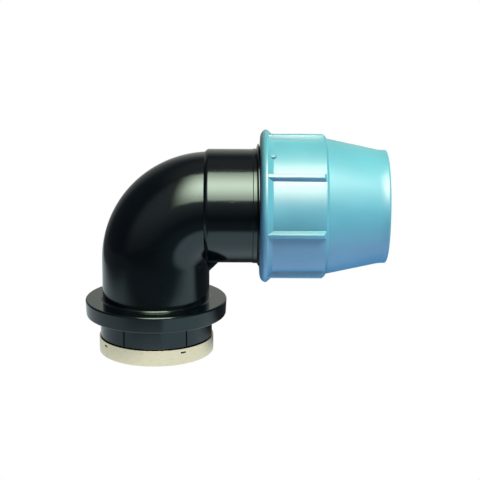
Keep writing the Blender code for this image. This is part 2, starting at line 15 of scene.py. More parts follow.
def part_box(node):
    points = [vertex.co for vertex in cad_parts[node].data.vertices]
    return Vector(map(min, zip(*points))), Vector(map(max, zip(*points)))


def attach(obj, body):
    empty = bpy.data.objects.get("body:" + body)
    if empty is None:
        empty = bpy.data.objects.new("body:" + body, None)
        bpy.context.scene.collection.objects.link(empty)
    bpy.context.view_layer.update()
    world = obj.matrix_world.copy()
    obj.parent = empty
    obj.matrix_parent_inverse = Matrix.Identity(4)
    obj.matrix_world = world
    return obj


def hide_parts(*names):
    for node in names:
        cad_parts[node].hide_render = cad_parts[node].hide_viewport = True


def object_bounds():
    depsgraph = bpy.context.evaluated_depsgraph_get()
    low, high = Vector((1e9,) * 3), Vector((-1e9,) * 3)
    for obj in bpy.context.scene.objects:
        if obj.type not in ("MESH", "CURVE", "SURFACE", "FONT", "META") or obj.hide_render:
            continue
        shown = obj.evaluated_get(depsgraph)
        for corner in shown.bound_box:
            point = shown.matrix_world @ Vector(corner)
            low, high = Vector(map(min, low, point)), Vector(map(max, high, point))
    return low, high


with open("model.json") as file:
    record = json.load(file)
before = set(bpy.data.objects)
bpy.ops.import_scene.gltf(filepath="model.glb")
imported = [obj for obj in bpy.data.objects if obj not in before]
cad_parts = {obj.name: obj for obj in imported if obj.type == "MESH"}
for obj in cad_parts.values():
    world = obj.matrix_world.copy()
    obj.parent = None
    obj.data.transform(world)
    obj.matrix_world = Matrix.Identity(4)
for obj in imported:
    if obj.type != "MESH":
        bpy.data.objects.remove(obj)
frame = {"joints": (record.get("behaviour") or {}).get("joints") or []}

bl_info = {
    "name": "Compression elbow",
    "version": (1, 0, 0),
    "blender": (4, 5, 0),
    "location": "View3D > Sidebar > Elbow",
    "description": "Builds the finished surfaces of a compression elbow round its packed model",
    "category": "Add Mesh",
}

CAD_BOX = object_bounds()

# How finely the pieces are divided
SEGMENTS = 192
INNER_SEGMENTS = 144
ARC_STEP = radians(12)
FACE_STEPS = 14
BEND_STEP = radians(1.5)
BEVEL_STEPS = 3
THREAD_STEPS = 96
CREST_STEPS = 2
LUG_SEGMENTS = 48
LUG_RIM_STEPS = 4
SEAL_SIDES = 32

# How fillets, divided edges and sharp edges are made
FILLET_SHARE = 0.42
HOLD = 0.00025
HOLD_SHARE = 0.25
SPLIT_MARGIN = 0.001
SHARP_ANGLE = radians(32)

# Fillets that no size gives, from the finest to the widest
HAIR_FILLET = 0.0001
TOOTH_FILLET = 0.00015
FINE_FILLET = 0.0003
SMALL_FILLET = 0.0004
BAND_FILLET = 0.0005
SOFT_FILLET = 0.0006
SPIGOT_FILLET = 0.0008
ROUND_FILLET = 0.001
PANEL_FILLET = 0.0015

# Overlap of joined shells, gap between resting pieces, and turns that the fine thread leaves free
SUNK = 0.001
REST_GAP = 0.0003
FREE_TURNS = 1.2

# Grooves and slots are turned from the front, and each has a partner behind
FRONT = -pi / 2
PAIR = 2

# Scales of the scuffs along X, Y and Z, of the steel's streaks round the ring and across it, and the
# distances from the bend's plane where the parting line ends and is full
SCUFF_SCALES = (90.0, 900.0, 400.0)
STREAK_SCALES = (9.0, 5200.0)
PARTING_LINE = (0.00028, 0.00006)

# Sockets of the Mix node's colours
MIX_COLOUR_INPUTS = (0, 6, 7)
MIX_COLOUR_OUTPUT = 2

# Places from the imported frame
NUT_JOINT = next(joint for joint in frame["joints"] if joint["name"] == "nut_turn")
NUT_START, _, AXIS_HEIGHT = NUT_JOINT["pos_m"]
RING_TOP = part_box("reinforcing_ring")[1].z
BODY_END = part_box("elbow_body")[1].x
BUSH_START, BUSH_END = (corner.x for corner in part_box("thrust_bush"))
GRIP_START, GRIP_END = (corner.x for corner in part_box("grip_ring"))
NUT_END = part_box("compression_nut")[1].x
SEAL_START, SEAL_END = (corner.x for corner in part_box("o_ring"))
ON_PIPE_AXIS = Matrix.Translation((0.0, 0.0, AXIS_HEIGHT)) @ Matrix.Rotation(pi / 2, 4, "Y")
ON_PIPE_AXIS_FROM_NUT = Matrix.Translation((NUT_START, 0.0, 0.0)) @ ON_PIPE_AXIS


def length(name, default, description):
    """A length in metres."""
    return bpy.props.FloatProperty(
        name=name, description=description, default=default, min=0.0, precision=5, unit="LENGTH"
    )


def angle(name, degrees, description):
    """An angle, given in degrees and kept in radians."""
    return bpy.props.FloatProperty(
        name=name, description=description, default=radians(degrees), unit="ROTATION"
    )


def colour(name, default, description):
    """A colour, or the light of an emitter, whose channels may pass 1."""
    return bpy.props.FloatVectorProperty(
        name=name, description=description, default=default, size=3, min=0.0, subtype="COLOR"
    )


def amount(name, default, description):
    """A plain number."""
    return bpy.props.FloatProperty(name=name, description=description, default=default, min=0.0)


def count(name, default, description):
    """A number of like things."""
    return bpy.props.IntProperty(name=name, description=description, default=default, min=1)


class ElbowPassageSizes(bpy.types.PropertyGroup):
    """The way through the fitting, shared by the body and what sits in it."""

    bend_bore: length("Bend bore", 0.0506, "Radius of the smooth passage")
    socket_bore: length("Socket bore", 0.0555, "Radius of the pipe socket")
    stop: length("Pipe stop", 0.064, "Place along the pipe's axis where the pipe ends")
    seal_ledge: length("Seal ledge", 0.150, "Place where the socket widens for the seal")
    seal_bore: length("Seal bore", 0.0615, "Radius of the seal's seat")
    entry: length("Entry chamfer", 0.0015, "Chamfer at the socket's mouth")
    thread_major: length("Female major radius", 0.05652, "Root radius of the female pipe thread")
    thread_height: length("Female thread height", 0.00148, "Height of the female pipe thread")
    thread_sunk: length("Female thread overlap", 0.0004, "How deep that thread's ridge runs into the wall")
    thread_crest: length("Female crest width", 0.0004, "Width of that thread's crest")
    thread_foot: length("Female foot width", 0.0020, "Width of that thread's foot")
    thread_edge: length("Female crest edge", 0.00015, "Rounding of that thread's crest")
    thread_pitch: length("Female thread pitch", 0.002309, "Pitch of the female pipe thread")
    thread_length: length("Female thread length", 0.038, "Depth of the threaded socket")
    lead_in: length("Female lead-in", 0.0016, "Chamfer at the threaded socket's mouth")


class ElbowBodySizes(bpy.types.PropertyGroup):
    """The black moulding's outside."""

    bend_radius: length("Bend radius", 0.061, "Radius of the bend's middle line")
    tube: length("Tube radius", 0.0599, "Outer radius of the leg and bend")
    spigot: length("Spigot radius", 0.06272, "Outer radius of the threaded spigot")
    spigot_top: length("Spigot height", 0.0425, "Height of the disc's underside")
    seat: length("Ring seat", 0.06247, "Radius that the steel ring sits on")
    seat_foot: length("Seat foot", 0.0018, "Height of the spigot's lower end")
    relief: length("Relief radius", 0.06142, "Radius of the groove above the steel ring")
    relief_height: length("Relief height", 0.0012, "Height of the groove above the steel ring")
    disc: length("Disc radius", 0.0793, "Radius of the disc")
    disc_draft: length("Disc draft", 0.001, "How much the disc narrows downwards")
    disc_top: length("Disc top", 0.0606, "Height of the disc's upper face")
    disc_edge: length("Disc edge", 0.0018, "Rounding of the disc's edges")
    disc_root: length("Disc root fillet", 0.0022, "Fillet between disc and leg")
    groove_width: length("Groove width", 0.0018, "Width of the spigot's upright grooves")
    groove_depth: length("Groove depth", 0.0015, "Depth of the spigot's upright grooves")
    groove_margin: length("Groove margin", 0.001, "Land between a groove and the disc")
    groove_right: angle("Right groove", 35.0, "Angle of the groove on the right and of the one behind it")
    groove_left: angle("Left groove", -31.0, "Angle of the groove on the left and of the one behind it")
    seat_chamfer: length("Seat chamfer", 0.0015, "Chamfer at the spigot's lower end")
    collar: length("Collar radius", 0.0628, "Outer radius of the pipe socket")
    collar_start: length("Collar start", 0.0548, "Place where the collar leaves the bend")
    collar_edge: length("Collar edge", 0.005, "Rounding of the collar's sloping start")
    band: length("Band radius", 0.0634, "Radius of the low band beside the thread")
    band_length: length("Band length", 0.0043, "Length of that band")
    web_leg: length("Web leg", 0.0116, "Side of the small web in the throat")
    web_thickness: length("Web thickness", 0.006, "Thickness of that web")
    web_edge: length("Web edge", 0.0008, "Rounding of the web's edges")


class ElbowThreadSizes(bpy.types.PropertyGroup):
    """The coarse thread between body and nut."""

    start: length("Thread start", 0.1126, "Place of the body thread's first turn")
    root: length("Root radius", 0.0662, "Root radius of the body thread")
    shoulder: length("Shoulder", 0.0015, "Length of the ramp from the band to the thread's root")
    height: length("Height", 0.0032, "Height of the ridge")
    crest: length("Crest width", 0.0015, "Width of the ridge's crest")
    foot: length("Foot width", 0.0035, "Width of the ridge's foot")
    edge: length("Edge radius", 0.0003, "Rounding of the ridge's crest")
    pitch: length("Pitch", 0.006, "Pitch of the coarse thread")
    phase: angle("Start angle", 130.0, "Angle of the body thread's start")
    run_out: angle("Run-out", 60.0, "Turn over which the ridge's ends fade")
    end_size: amount("End size", 0.1, "Share of the section left at the ridge's ends")
    body_turns: amount("Body turns", 5.5, "Turns of the body thread")
    nut_turns: amount("Nut turns", 4.0, "Turns of the nut thread")
    nut_inset: length("Nut inset", 0.006, "Distance of the nut thread's start from the nut's face")
    clearance: length("Clearance", 0.0005, "Radial clearance between the threads")


class ElbowNutSizes(bpy.types.PropertyGroup):
    """The blue compression nut."""

    panel: length("Panel radius", 0.0792, "Radius of the panels beside the flange")
    panel_draft: length("Panel draft", 0.0005, "How much the panels narrow outwards")
    panel_end: length("Panel end", 0.0725, "Distance from the nut's face to the panels' end")
    panel_chamfer: length("Panel chamfer", 0.0016, "Slope at the panels' end")
    panel_setback: length("Panel setback", 0.0024, "Length of that slope")
    nose: length("Nose radius", 0.0749, "Radius where the nose begins")
    taper: angle("Taper", 11.4, "Slope of the nose")
    cone_length: length("Cone length", 0.053, "Length of the inner cone")
    nose_wall: length("Nose wall", 0.005, "Wall of the nose")
    end_land: length("End land", 0.005, "Distance from the end where the taper gives the end's radius")
    end_turn: length("End turn", 0.008, "Distance from the nose's end to the corner between taper and end")
    end_blend: length("End blend", 0.06, "Radius that eases that corner")
    end_edge: length("End edge", 0.0026, "Rounding of the nose's end")
    mouth: length("Mouth radius", 0.056, "Radius of the opening for the pipe")
    mouth_chamfer: length("Mouth chamfer", 0.0016, "Chamfer at the opening")
    flange_height: length("Flange height", 0.0051, "Height of the flange above the panels")
    flange_width: length("Flange width", 0.0075, "Distance from the nut's face to the flange's far edge")
    flange_slope: length("Flange slope", 0.006, "Length of the slope from the flange down to the panels")
    flange_rise: length("Flange rise", 0.0068, "Length along the axis of the flange's round face")
    flange_face: length("Flange face", 0.0095, "Height of the flange's round face")
    flange_edge: length("Flange edge", 0.003, "Rounding of the flange's crest")
    entry: length("Entry chamfer", 0.0015, "Chamfer at the nut's thread")
    rib_count: count("Ribs", 8, "Grip ribs round the nut")
    rib_phase: angle("Rib angle", 10.0, "Angle of the first rib")
    rib_height: length("Rib height", 0.0048, "Height of a rib above the panels")
    rib_top: length("Rib top", 0.0042, "Width of a rib's top")
    rib_foot: length("Rib foot", 0.009, "Width of a rib's foot")
    rib_setback: length("Rib setback", 0.0025, "How much a rib's top is shorter than its foot")
    rib_edge: length("Rib edge", 0.0005, "Rounding of a rib's edges")
    lug: length("Lug radius", 0.0045, "Radius of the small boss beside the flange")
    lug_top: length("Lug top radius", 0.004, "Radius of the boss's top")
    lug_height: length("Lug height", 0.003, "Height of the boss")
    lug_edge: length("Lug edge", 0.0011, "Rounding of the boss's rim")
    lug_angle: angle("Lug angle", 215.5, "Angle of the boss")
    lug_offset: length("Lug offset", 0.013, "Distance of the boss from the nut's face")


class ElbowInnerSizes(bpy.types.PropertyGroup):
    """The steel ring and the pieces inside the nut."""

    ring_inner: length("Ring bore", 0.06277, "Inner radius of the steel ring")
    ring_wall: length("Ring wall", 0.0015, "Thickness of the steel")
    ring_lip: length("Ring lip", 0.003, "Width of the lip under the spigot")
    ring_edge: length("Ring edge", 0.0014, "Rounding of the ring's lower edge")
    ring_brim: length("Ring brim", 0.0001, "Rounding of the ring's upper edge")
    punch_right: angle("Right slot", 30.5, "Angle of the right punched slot and of the one behind it")
    punch_left: angle("Left slot", -57.0, "Angle of the left punched slot and of the one behind it")
    punch_drop: length("Slot drop", 0.0042, "Distance of the punched slots below the ring's upper edge")
    punch_width: length("Slot length", 0.0062, "Length of a punched slot along the ring")
    punch_height: length("Slot height", 0.0019, "Height of a punched slot")
    punch_depth: length("Slot depth", 0.002, "Depth of a punched slot, through the wall")
    bush_radius: length("Bush radius", 0.0612, "Outer radius of the thrust bush")
    bush_flange: length("Bush flange", 0.0652, "Radius of the bush's flange")
    bush_flange_length: length("Bush flange length", 0.0055, "Length of the bush's flange")
    bush_edge: length("Bush edge", 0.0015, "Chamfer of the bush")
    cone_gap: length("Cone gap", 0.0004, "Clearance between grip ring and nut")
    grip_back: length("Grip back", 0.0157, "Straight length behind the grip ring's cone")
    grip_chamfer: length("Grip chamfer", 0.005, "Chamfer at the grip ring's back")
    tooth_tip: length("Tooth tip", 0.0553, "Radius of the grip teeth's tips")
    tooth_depth: length("Tooth depth", 0.0015, "Depth of the grip teeth")
    tooth_pitch: length("Tooth pitch", 0.0075, "Distance between grip teeth")
    tooth_face: length("Tooth face", 0.0004, "Lean of a tooth's steep face")
    tooth_setback: length("Tooth setback", 0.00375, "Distance of the last tooth from the ring's end")
    tooth_count: count("Teeth", 6, "Circular teeth in the grip ring")
    slot_width: length("Slot width", 0.009, "Width of the grip ring's split")


class ElbowFinishes(bpy.types.PropertyGroup):
    """Colours of the plastics, the steel and the rubber."""

    black: colour("Black", (0.0014, 0.0017, 0.0022), "Black moulded body")
    blue: colour("Blue", (0.095, 0.228, 0.295), "Blue moulded nut")
    white: colour("White", (0.72, 0.72, 0.68), "White grip ring")
    steel: colour("Steel", (0.73, 0.63, 0.455), "Satin steel ring")
    rubber: colour("Rubber", (0.012, 0.012, 0.013), "Seal")


class ElbowStudio(bpy.types.PropertyGroup):
    """Camera, floor and lights."""

    aim: bpy.props.FloatVectorProperty(
        name="Aim", description="Point at the picture's centre", default=(0.094, 0.0, 0.1272),
        subtype="TRANSLATION",
    )
    distance: length("Distance", 1.5073, "Distance from the camera to the aim")
    elevation: angle("Elevation", 14.2, "Camera's height above the horizon")
    roll: angle("Roll", 0.293, "Camera's turn about its own axis")
    lens: amount("Lens", 101.5, "Focal length in millimetres")
    softbox_distance: length("Softbox distance", 1.5, "Distance from the softbox to the elbow")
    softbox_low: angle("Softbox low edge", 22.5, "Height angle of the softbox's front edge")
    softbox_high: angle("Softbox high edge", 81.8, "Height angle of the softbox's rear edge")
    softbox_left: length("Softbox left", 0.77, "Reach of the softbox towards -X")
    softbox_right: length("Softbox right", 0.62, "Reach of the softbox towards +X")
    softbox_glow: amount("Softbox glow", 18.0, "Radiance in the middle of the softbox")
    softbox_shade: colour("Softbox shade", (1.0, 1.0, 0.75), "Colour of the softbox")
    key_height: angle("Key light height", 58.0, "Height angle of the key light, which gloss doesn't show")
    key_distance: length("Key light distance", 1.5, "Distance from the key light to the elbow")
    key_side: length("Key light side", 0.66, "Place of the key light towards +X")
    key_size: length("Key light size", 0.7, "Side of the square key light")
    key_glow: amount("Key light glow", 59.0, "Radiance of the key light")
    key_shade: colour("Key light shade", (0.62, 1.0, 0.81), "Colour of the key light")
    sheet_reach: length("Sheet reach", 1.2, "Distance to the edges of the sheet under the elbow")
    sheet_left: length("Sheet left", 0.15, "Reach towards -X of the part of the sheet that throws light up")
    sheet_glow: colour("Sheet glow", (0.74, 1.40, 2.14), "Light that the sheet throws up on the elbow")
    gloss_glow: colour("Gloss glow", (0.94, 1.08, 1.12), "Brightness of the sheet as the elbow mirrors it")
    gloss_left: length("Gloss left", 0.35, "Distance from the threaded socket to the lit patch's left edge")
    gloss_front: length("Gloss front", 0.235, "Distance to the patch's front edge below the pipe socket")
    gloss_fade: length("Gloss fade", 0.03, "Half the width over which that edge fades")
    near_front: length("Near front", 0.185, "Distance to the patch's front edge below the disc")
    near_fade: length("Near fade", 0.075, "Half the width over which the edge below the disc fades")
    far_front: length("Far front", 0.215, "Distance to the patch's front edge beyond the nut")
    far_fade: length("Far fade", 0.10, "Half the width over which the edge beyond the nut fades")
    far_shadow: length("Far shadow", 0.03, "How much nearer the shadow starts beyond the nut")
    shadow_front: length("Shadow front", 0.04, "Distance before the socket's axis where the shadow starts")
    shadow_back: length("Shadow back", 0.06, "Distance behind that axis where the shadow is full")
    wall_glow: colour("Wall glow", (0.52, 0.54, 0.46), "Pale wall behind")
    tail_glow: colour("Tail glow", (0.34, 0.31, 0.30), "Faint light in front, round the softbox's edges")
    ceiling_glow: colour("Ceiling glow", (0.24, 0.19, 0.16), "Ceiling over the elbow")
    dark_glow: colour("Dark glow", (0.055, 0.064, 0.088), "Dark room all round")


class Value:
    """A number on a node's socket; Python's operators add Math nodes."""

    def __init__(self, nodes, socket):
        self.nodes = nodes
        self.socket = socket

    def math(self, operation, *values):
        """The result of a Math node."""
        return self.nodes.value("ShaderNodeMath", 0, {"operation": operation}, dict(enumerate(values)))

    def __add__(self, other):
        return self.math("ADD", self, other)

    def __sub__(self, other):
        return self.math("SUBTRACT", self, other)

    def __rsub__(self, other):
        return self.math("SUBTRACT", other, self)

    def __mul__(self, other):
        return self.math("MULTIPLY", self, other)

    def __truediv__(self, other):
        return self.math("DIVIDE", self, other)

    __radd__ = __add__
    __rmul__ = __mul__

    def size(self):
        return self.math("ABSOLUTE", self)

    def root(self):
        return self.math("SQRT", self)

    def cosine(self):
        return self.math("COSINE", self)

    def sine(self):
        return self.math("SINE", self)

    def lower(self, other):
        return self.math("MINIMUM", self, other)

    def angle_to(self, other):
        """The angle of the point (other, self), as atan2."""
        return self.math("ARCTAN2", self, other)

    def between(self, low, high):
        """low where this value is 0, high where it is 1."""
        return self * (high - low) + low

    def rises(self, low, high):
        """0 below low, 1 above high, smooth between; falls instead where low is the larger."""
        start, end = min(low, high), max(low, high)
        inputs = {"Value": self, "From Min": start, "From Max": end}
        inputs["To Min"], inputs["To Max"] = (0.0, 1.0) if low < high else (1.0, 0.0)
        return self.nodes.value("ShaderNodeMapRange", 0, {"interpolation_type": "SMOOTHSTEP"}, inputs)


class Nodes:
    """Adds nodes to a tree."""

    def __init__(self, tree):
        self.tree = tree

    def add(self, kind, settings=None, inputs=None):
        """A node of a type, with its settings, and then the values or links of its sockets."""
        node = self.tree.nodes.new(kind)
        for name, value in (settings or {}).items():
            setattr(node, name, value)
        for name, value in (inputs or {}).items():
            self.feed(node.inputs[name], value)
        return node

    def feed(self, socket, value):
        """Links a value to a socket, or sets the socket to a plain number, colour or vector."""
        if isinstance(value, Value):
            value = value.socket
        if isinstance(value, bpy.types.NodeSocket):
            self.tree.links.new(value, socket)
        else:
            socket.default_value = value

    def value(self, kind, output, settings=None, inputs=None):
        """One output of a new node, as a Value."""
        return Value(self, self.add(kind, settings, inputs).outputs[output])

    def axes(self, vector):
        """The three numbers of a vector."""
        split = self.add("ShaderNodeSeparateXYZ", None, {"Vector": vector})
        return [Value(self, split.outputs[name]) for name in "XYZ"]

    def vector(self, x, y, z):
        return self.add("ShaderNodeCombineXYZ", None, {"X": x, "Y": y, "Z": z}).outputs[0]

    def noise(self, coordinates, scale, detail=2.0):
        """A noise pattern, as fine as its scale is high."""
        inputs = {"Vector": coordinates, "Scale": scale, "Detail": detail}
        return self.value("ShaderNodeTexNoise", "Fac", None, inputs)

    def mixed(self, factor, first, second):
        """The first colour where the factor is 0, and the second where it is 1."""
        inputs = dict(zip(MIX_COLOUR_INPUTS, (factor, first, second)))
        return self.add("ShaderNodeMix", {"data_type": "RGBA"}, inputs).outputs[MIX_COLOUR_OUTPUT]

    def shades(self, factor, shade, first, second):
        """One colour at the first gain where the factor is 0, and at the second where it is 1."""
        return self.mixed(factor, rgba(shade, first), rgba(shade, second))


def rgba(shade, gain=1.0):
    """A colour times a gain, no channel above 1, with full alpha."""
    return tuple(min(1.0, channel * gain) for channel in shade[:3]) + (1.0,)


def new_material(name):
    """An empty material with its Principled shader and its Object coordinates."""
    material = bpy.data.materials.new(name)
    material.use_nodes = True
    nodes = Nodes(material.node_tree)
    shader = material.node_tree.nodes["Principled BSDF"]
    coordinates = nodes.add("ShaderNodeTexCoord").outputs["Object"]
    return material, nodes, shader, coordinates


def finish_surface(nodes, shader, base, roughness, height, distance):
    """Feeds the shader's varying sockets: colour, roughness and a bump."""
    nodes.feed(shader.inputs["Base Color"], base)
    nodes.feed(shader.inputs["Roughness"], roughness)
    bump = nodes.add("ShaderNodeBump", None, {"Strength": 1.0, "Distance": distance, "Height": height})
    nodes.feed(shader.inputs["Normal"], bump.outputs["Normal"])


def set_constants(shader, values):
    """Sets what is the same all over a surface on the shader's own sockets."""
    for name, value in values.items():
        shader.inputs[name].default_value = value


def black_moulding(finishes):
    """Satin black plastic: flow marks, mould grain, a parting line in the bend's plane and faint scuffs."""
    material, nodes, shader, place = new_material("black_moulding")
    axes = nodes.axes(place)
    flow = nodes.noise(place, scale=22.0, detail=3.0)
    grain = nodes.noise(place, scale=1500.0)
    ripple = nodes.noise(place, scale=60.0)
    drawn_out = nodes.vector(*(axis * scale for axis, scale in zip(axes, SCUFF_SCALES)))
    scuffs = nodes.noise(drawn_out, scale=1.0, detail=4.0).rises(0.62, 0.74)
    parting = axes[1].size().rises(*PARTING_LINE)
    base = nodes.shades(flow.rises(0.3, 0.7), finishes.black, 0.85, 1.25)
    base = nodes.mixed(scuffs * 0.35, base, rgba(finishes.black, 2.6))
    roughness = flow * 0.04 + grain * 0.02 + scuffs * 0.06 + 0.10
    height = grain * 0.10 + ripple * 0.55 + parting * 0.5 - scuffs * 0.20
    finish_surface(nodes, shader, base, roughness, height, distance=0.00009)
    set_constants(shader, {"IOR": 1.5, "Specular Tint": (0.765, 0.95, 1.0, 1.0)})
    return material


def blue_moulding(finishes):
    """Satin blue plastic, a little paler where the melt flowed thin, with fine grain."""
    material, nodes, shader, place = new_material("blue_moulding")
    flow = nodes.noise(place, scale=16.0, detail=3.0)
    cloud = nodes.noise(place, scale=70.0)
    grain = nodes.noise(place, scale=1400.0)
    speck = nodes.noise(place, scale=2600.0).rises(0.70, 0.78)
    base = nodes.shades(flow.rises(0.25, 0.75), finishes.blue, 0.94, 1.08)
    base = nodes.mixed(speck * 0.25, base, rgba(finishes.blue, 0.6))
    roughness = flow * 0.04 + grain * 0.04 + cloud * 0.02 + 0.33
    height = grain * 0.14 + cloud * 0.5
    finish_surface(nodes, shader, base, roughness, height, distance=0.00008)
    set_constants(shader, {
        "IOR": 1.5,
        "Specular IOR Level": 0.90,
        "Specular Tint": (1.0, 0.57, 0.49, 1.0),
        "Coat Weight": 0.10,
        "Coat Roughness": 0.13,
        "Subsurface Weight": 0.06,
        "Subsurface Radius": (0.2, 0.7, 1.0),
        "Subsurface Scale": 0.002,
    })
    return material


def satin_steel(finishes):
    """Stainless strip, rolled round the spigot: fine streaks along the strip and faint handling marks."""
    material, nodes, shader, place = new_material("satin_steel")
    x, y, z = nodes.axes(place)
    around, across = STREAK_SCALES
    rolled = nodes.vector(y.angle_to(x) * around, z * across, 0.0)
    streaks = nodes.noise(rolled, scale=1.0, detail=4.0)
    marks = nodes.noise(place, scale=160.0, detail=4.0)
    base = nodes.shades(streaks.rises(0.3, 0.7), finishes.steel, 0.90, 1.10)
    base = nodes.mixed(marks.rises(0.58, 0.72) * 0.3, base, rgba(finishes.steel, 0.7))
    roughness = streaks * 0.12 + marks * 0.08 + 0.22
    height = streaks * 0.25 + marks * 0.1
    finish_surface(nodes, shader, base, roughness, height, distance=0.00004)
    set_constants(shader, {"Metallic": 1.0})
    return material


def white_moulding(finishes):
    """Waxy white plastic of the grip ring."""
    material, nodes, shader, place = new_material("white_moulding")
    flow = nodes.noise(place, scale=30.0, detail=3.0)
    grain = nodes.noise(place, scale=1100.0)
    base = nodes.shades(flow.rises(0.3, 0.7), finishes.white, 0.93, 1.05)
    roughness = flow * 0.08 + grain * 0.06 + 0.36
    height = grain * 0.3 + flow * 0.4
    finish_surface(nodes, shader, base, roughness, height, distance=0.00008)
    set_constants(shader, {"Subsurface Weight": 0.1, "Subsurface Scale": 0.003})
    return material


def seal_rubber(finishes):
    """Matt black rubber with a dusty bloom."""
    material, nodes, shader, place = new_material("seal_rubber")
    bloom = nodes.noise(place, scale=120.0, detail=4.0)
    grain = nodes.noise(place, scale=2400.0)
    base = nodes.shades(bloom.rises(0.45, 0.75), finishes.rubber, 1.0, 2.5)
    height = grain * 0.5 + bloom * 0.3
    finish_surface(nodes, shader, base, bloom * 0.15 + 0.55, height, distance=0.00008)
    return material


def ready(make, *given):
    """The material or node tree of a maker's name, made the first time that it is asked for."""
    name = make.__name__
    return bpy.data.materials.get(name) or bpy.data.node_groups.get(name) or make(*given)


def geometry_tree(name, sockets):
    """An empty Geometry Nodes tree with its named inputs, and the wrapper that adds its nodes."""
    group = bpy.data.node_groups.new(name, "GeometryNodeTree")
    group.interface.new_socket("Geometry", in_out="INPUT", socket_type="NodeSocketGeometry")
    for label, kind, default in sockets:
        item = group.interface.new_socket(label, in_out="INPUT", socket_type=kind)
        if default is not None:
            item.default_value = default
    group.interface.new_socket("Geometry", in_out="OUTPUT", socket_type="NodeSocketGeometry")
    nodes = Nodes(group)
    entry = nodes.add("NodeGroupInput")
    return group, nodes, entry


def close_tree(nodes, geometry, material):
    """Ends a tree in Realize Instances and Set Material."""
    real = nodes.add("GeometryNodeRealizeInstances", None, {"Geometry": geometry}).outputs[0]
    dressed = nodes.add("GeometryNodeSetMaterial", None, {"Geometry": real, "Material": material})
    nodes.add("NodeGroupOutput", None, {"Geometry": dressed.outputs[0]})


def helical_ridge():
    """A closed trapezoid ridge wound right-handed round Z, fading into its wall at both ends."""
    sizes = (
        ("Root Radius", "NodeSocketFloat", 0.05),
        ("Height", "NodeSocketFloat", 0.003),
        ("Sunk", "NodeSocketFloat", 0.001),
        ("Crest Width", "NodeSocketFloat", 0.0015),
        ("Foot Width", "NodeSocketFloat", 0.0035),
        ("Edge Radius", "NodeSocketFloat", 0.0003),
        ("Pitch", "NodeSocketFloat", 0.006),
        ("Turns", "NodeSocketFloat", 4.0),
        ("Start Angle", "NodeSocketFloat", 0.0),
        ("Start Height", "NodeSocketFloat", 0.0),
        ("Run-out", "NodeSocketFloat", 1.0),
        ("End Size", "NodeSocketFloat", 0.1),
        ("Inwards", "NodeSocketBool", False),
        ("Steps", "NodeSocketInt", THREAD_STEPS),
        ("Material", "NodeSocketMaterial", None),
    )
    group, nodes, entry = geometry_tree("helical_ridge", sizes)
    numbers = (name for name, kind, default in sizes if kind == "NodeSocketFloat")
    given = {name: Value(nodes, entry.outputs[name]) for name in numbers}
    steps = Value(nodes, entry.outputs["Steps"])
    line = nodes.add("GeometryNodeCurvePrimitiveLine")
    sections = given["Turns"] * steps + 1.0
    points = nodes.add("GeometryNodeResampleCurve", None, {"Curve": line.outputs[0], "Count": sections})
    share = nodes.value("GeometryNodeSplineParameter", "Factor")
    turned_by = share * given["Turns"] * (2 * pi)
    spoke = turned_by + given["Start Angle"]
    rise = turned_by * given["Pitch"] / (2 * pi) + given["Start Height"]
    radius = given["Root Radius"]
    spot = nodes.vector(spoke.cosine() * radius, spoke.sine() * radius, rise)
    helix = nodes.add("GeometryNodeSetPosition", None, {"Geometry": points.outputs[0], "Position": spot})
    upright = nodes.add("GeometryNodeSetCurveNormal", {"mode": "Z_UP"}, {"Curve": helix.outputs[0]})

    from_end = share.lower(1.0 - share) * given["Turns"] * (2 * pi)
    growth = (from_end / given["Run-out"] * (1.0 - given["End Size"]) + given["End Size"]).lower(1.0)
    flank = (given["Foot Width"] - given["Crest Width"]) / given["Height"]
    foot = given["Foot Width"] + flank * given["Sunk"]
    whole = given["Height"] + given["Sunk"]
    form = nodes.add(
        "GeometryNodeCurvePrimitiveQuadrilateral",
        {"mode": "TRAPEZOID"},
        {"Height": whole, "Bottom Width": foot, "Top Width": given["Crest Width"], "Offset": 0.0},
    )
    fillet = {"Count": CREST_STEPS, "Radius": given["Edge Radius"], "Limit Radius": True}
    soft = nodes.add("GeometryNodeFilletCurve", {"mode": "POLY"}, {"Curve": form.outputs[0], **fillet})
    middle = whole / 2.0 - given["Sunk"]

    def either(outwards, inwards):
        """One of two numbers, by the side that the ridge stands on."""
        inputs = {"Switch": entry.outputs["Inwards"], "False": outwards, "True": inwards}
        return nodes.value("GeometryNodeSwitch", 0, {"input_type": "FLOAT"}, inputs)

    side = either(-pi / 2, pi / 2)
    lift = either(1.0, -1.0)
    profile = nodes.add(
        "GeometryNodeTransform", None,
        {
            "Geometry": soft.outputs[0],
            "Translation": nodes.vector(middle * lift, 0.0, 0.0),
            "Rotation": nodes.vector(0.0, 0.0, side),
        },
    )
    swept = nodes.add(
        "GeometryNodeCurveToMesh", None,
        {
            "Curve": upright.outputs[0],
            "Profile Curve": profile.outputs[0],
            "Scale": growth,
            "Fill Caps": True,
        },
    )
    close_tree(nodes, swept.outputs[0], entry.outputs["Material"])
    return group


def copies_round_axis(nodes, entry):
    """Instances of the tree's Piece, spread evenly round Z from the angle Phase."""
    index = nodes.value("GeometryNodeInputIndex", 0)
    number = Value(nodes, entry.outputs["Count"])
    spoke = index * (2 * pi) / number + Value(nodes, entry.outputs["Phase"])
    points = nodes.add("GeometryNodePoints", None, {"Count": number})
    piece = nodes.add("GeometryNodeObjectInfo", None, {"Object": entry.outputs["Piece"]})
    spread = nodes.add(
        "GeometryNodeInstanceOnPoints", None,
        {
            "Points": points.outputs[0],
            "Instance": piece.outputs["Geometry"],
            "Rotation": nodes.vector(0.0, 0.0, spoke),
        },
    )
    return spread.outputs[0]


# Inputs of the trees that copy a piece round Z
COPY_SOCKETS = (
    ("Piece", "NodeSocketObject", None),
    ("Count", "NodeSocketInt", 4),
    ("Phase", "NodeSocketFloat", 0.0),
    ("Material", "NodeSocketMaterial", None),
)


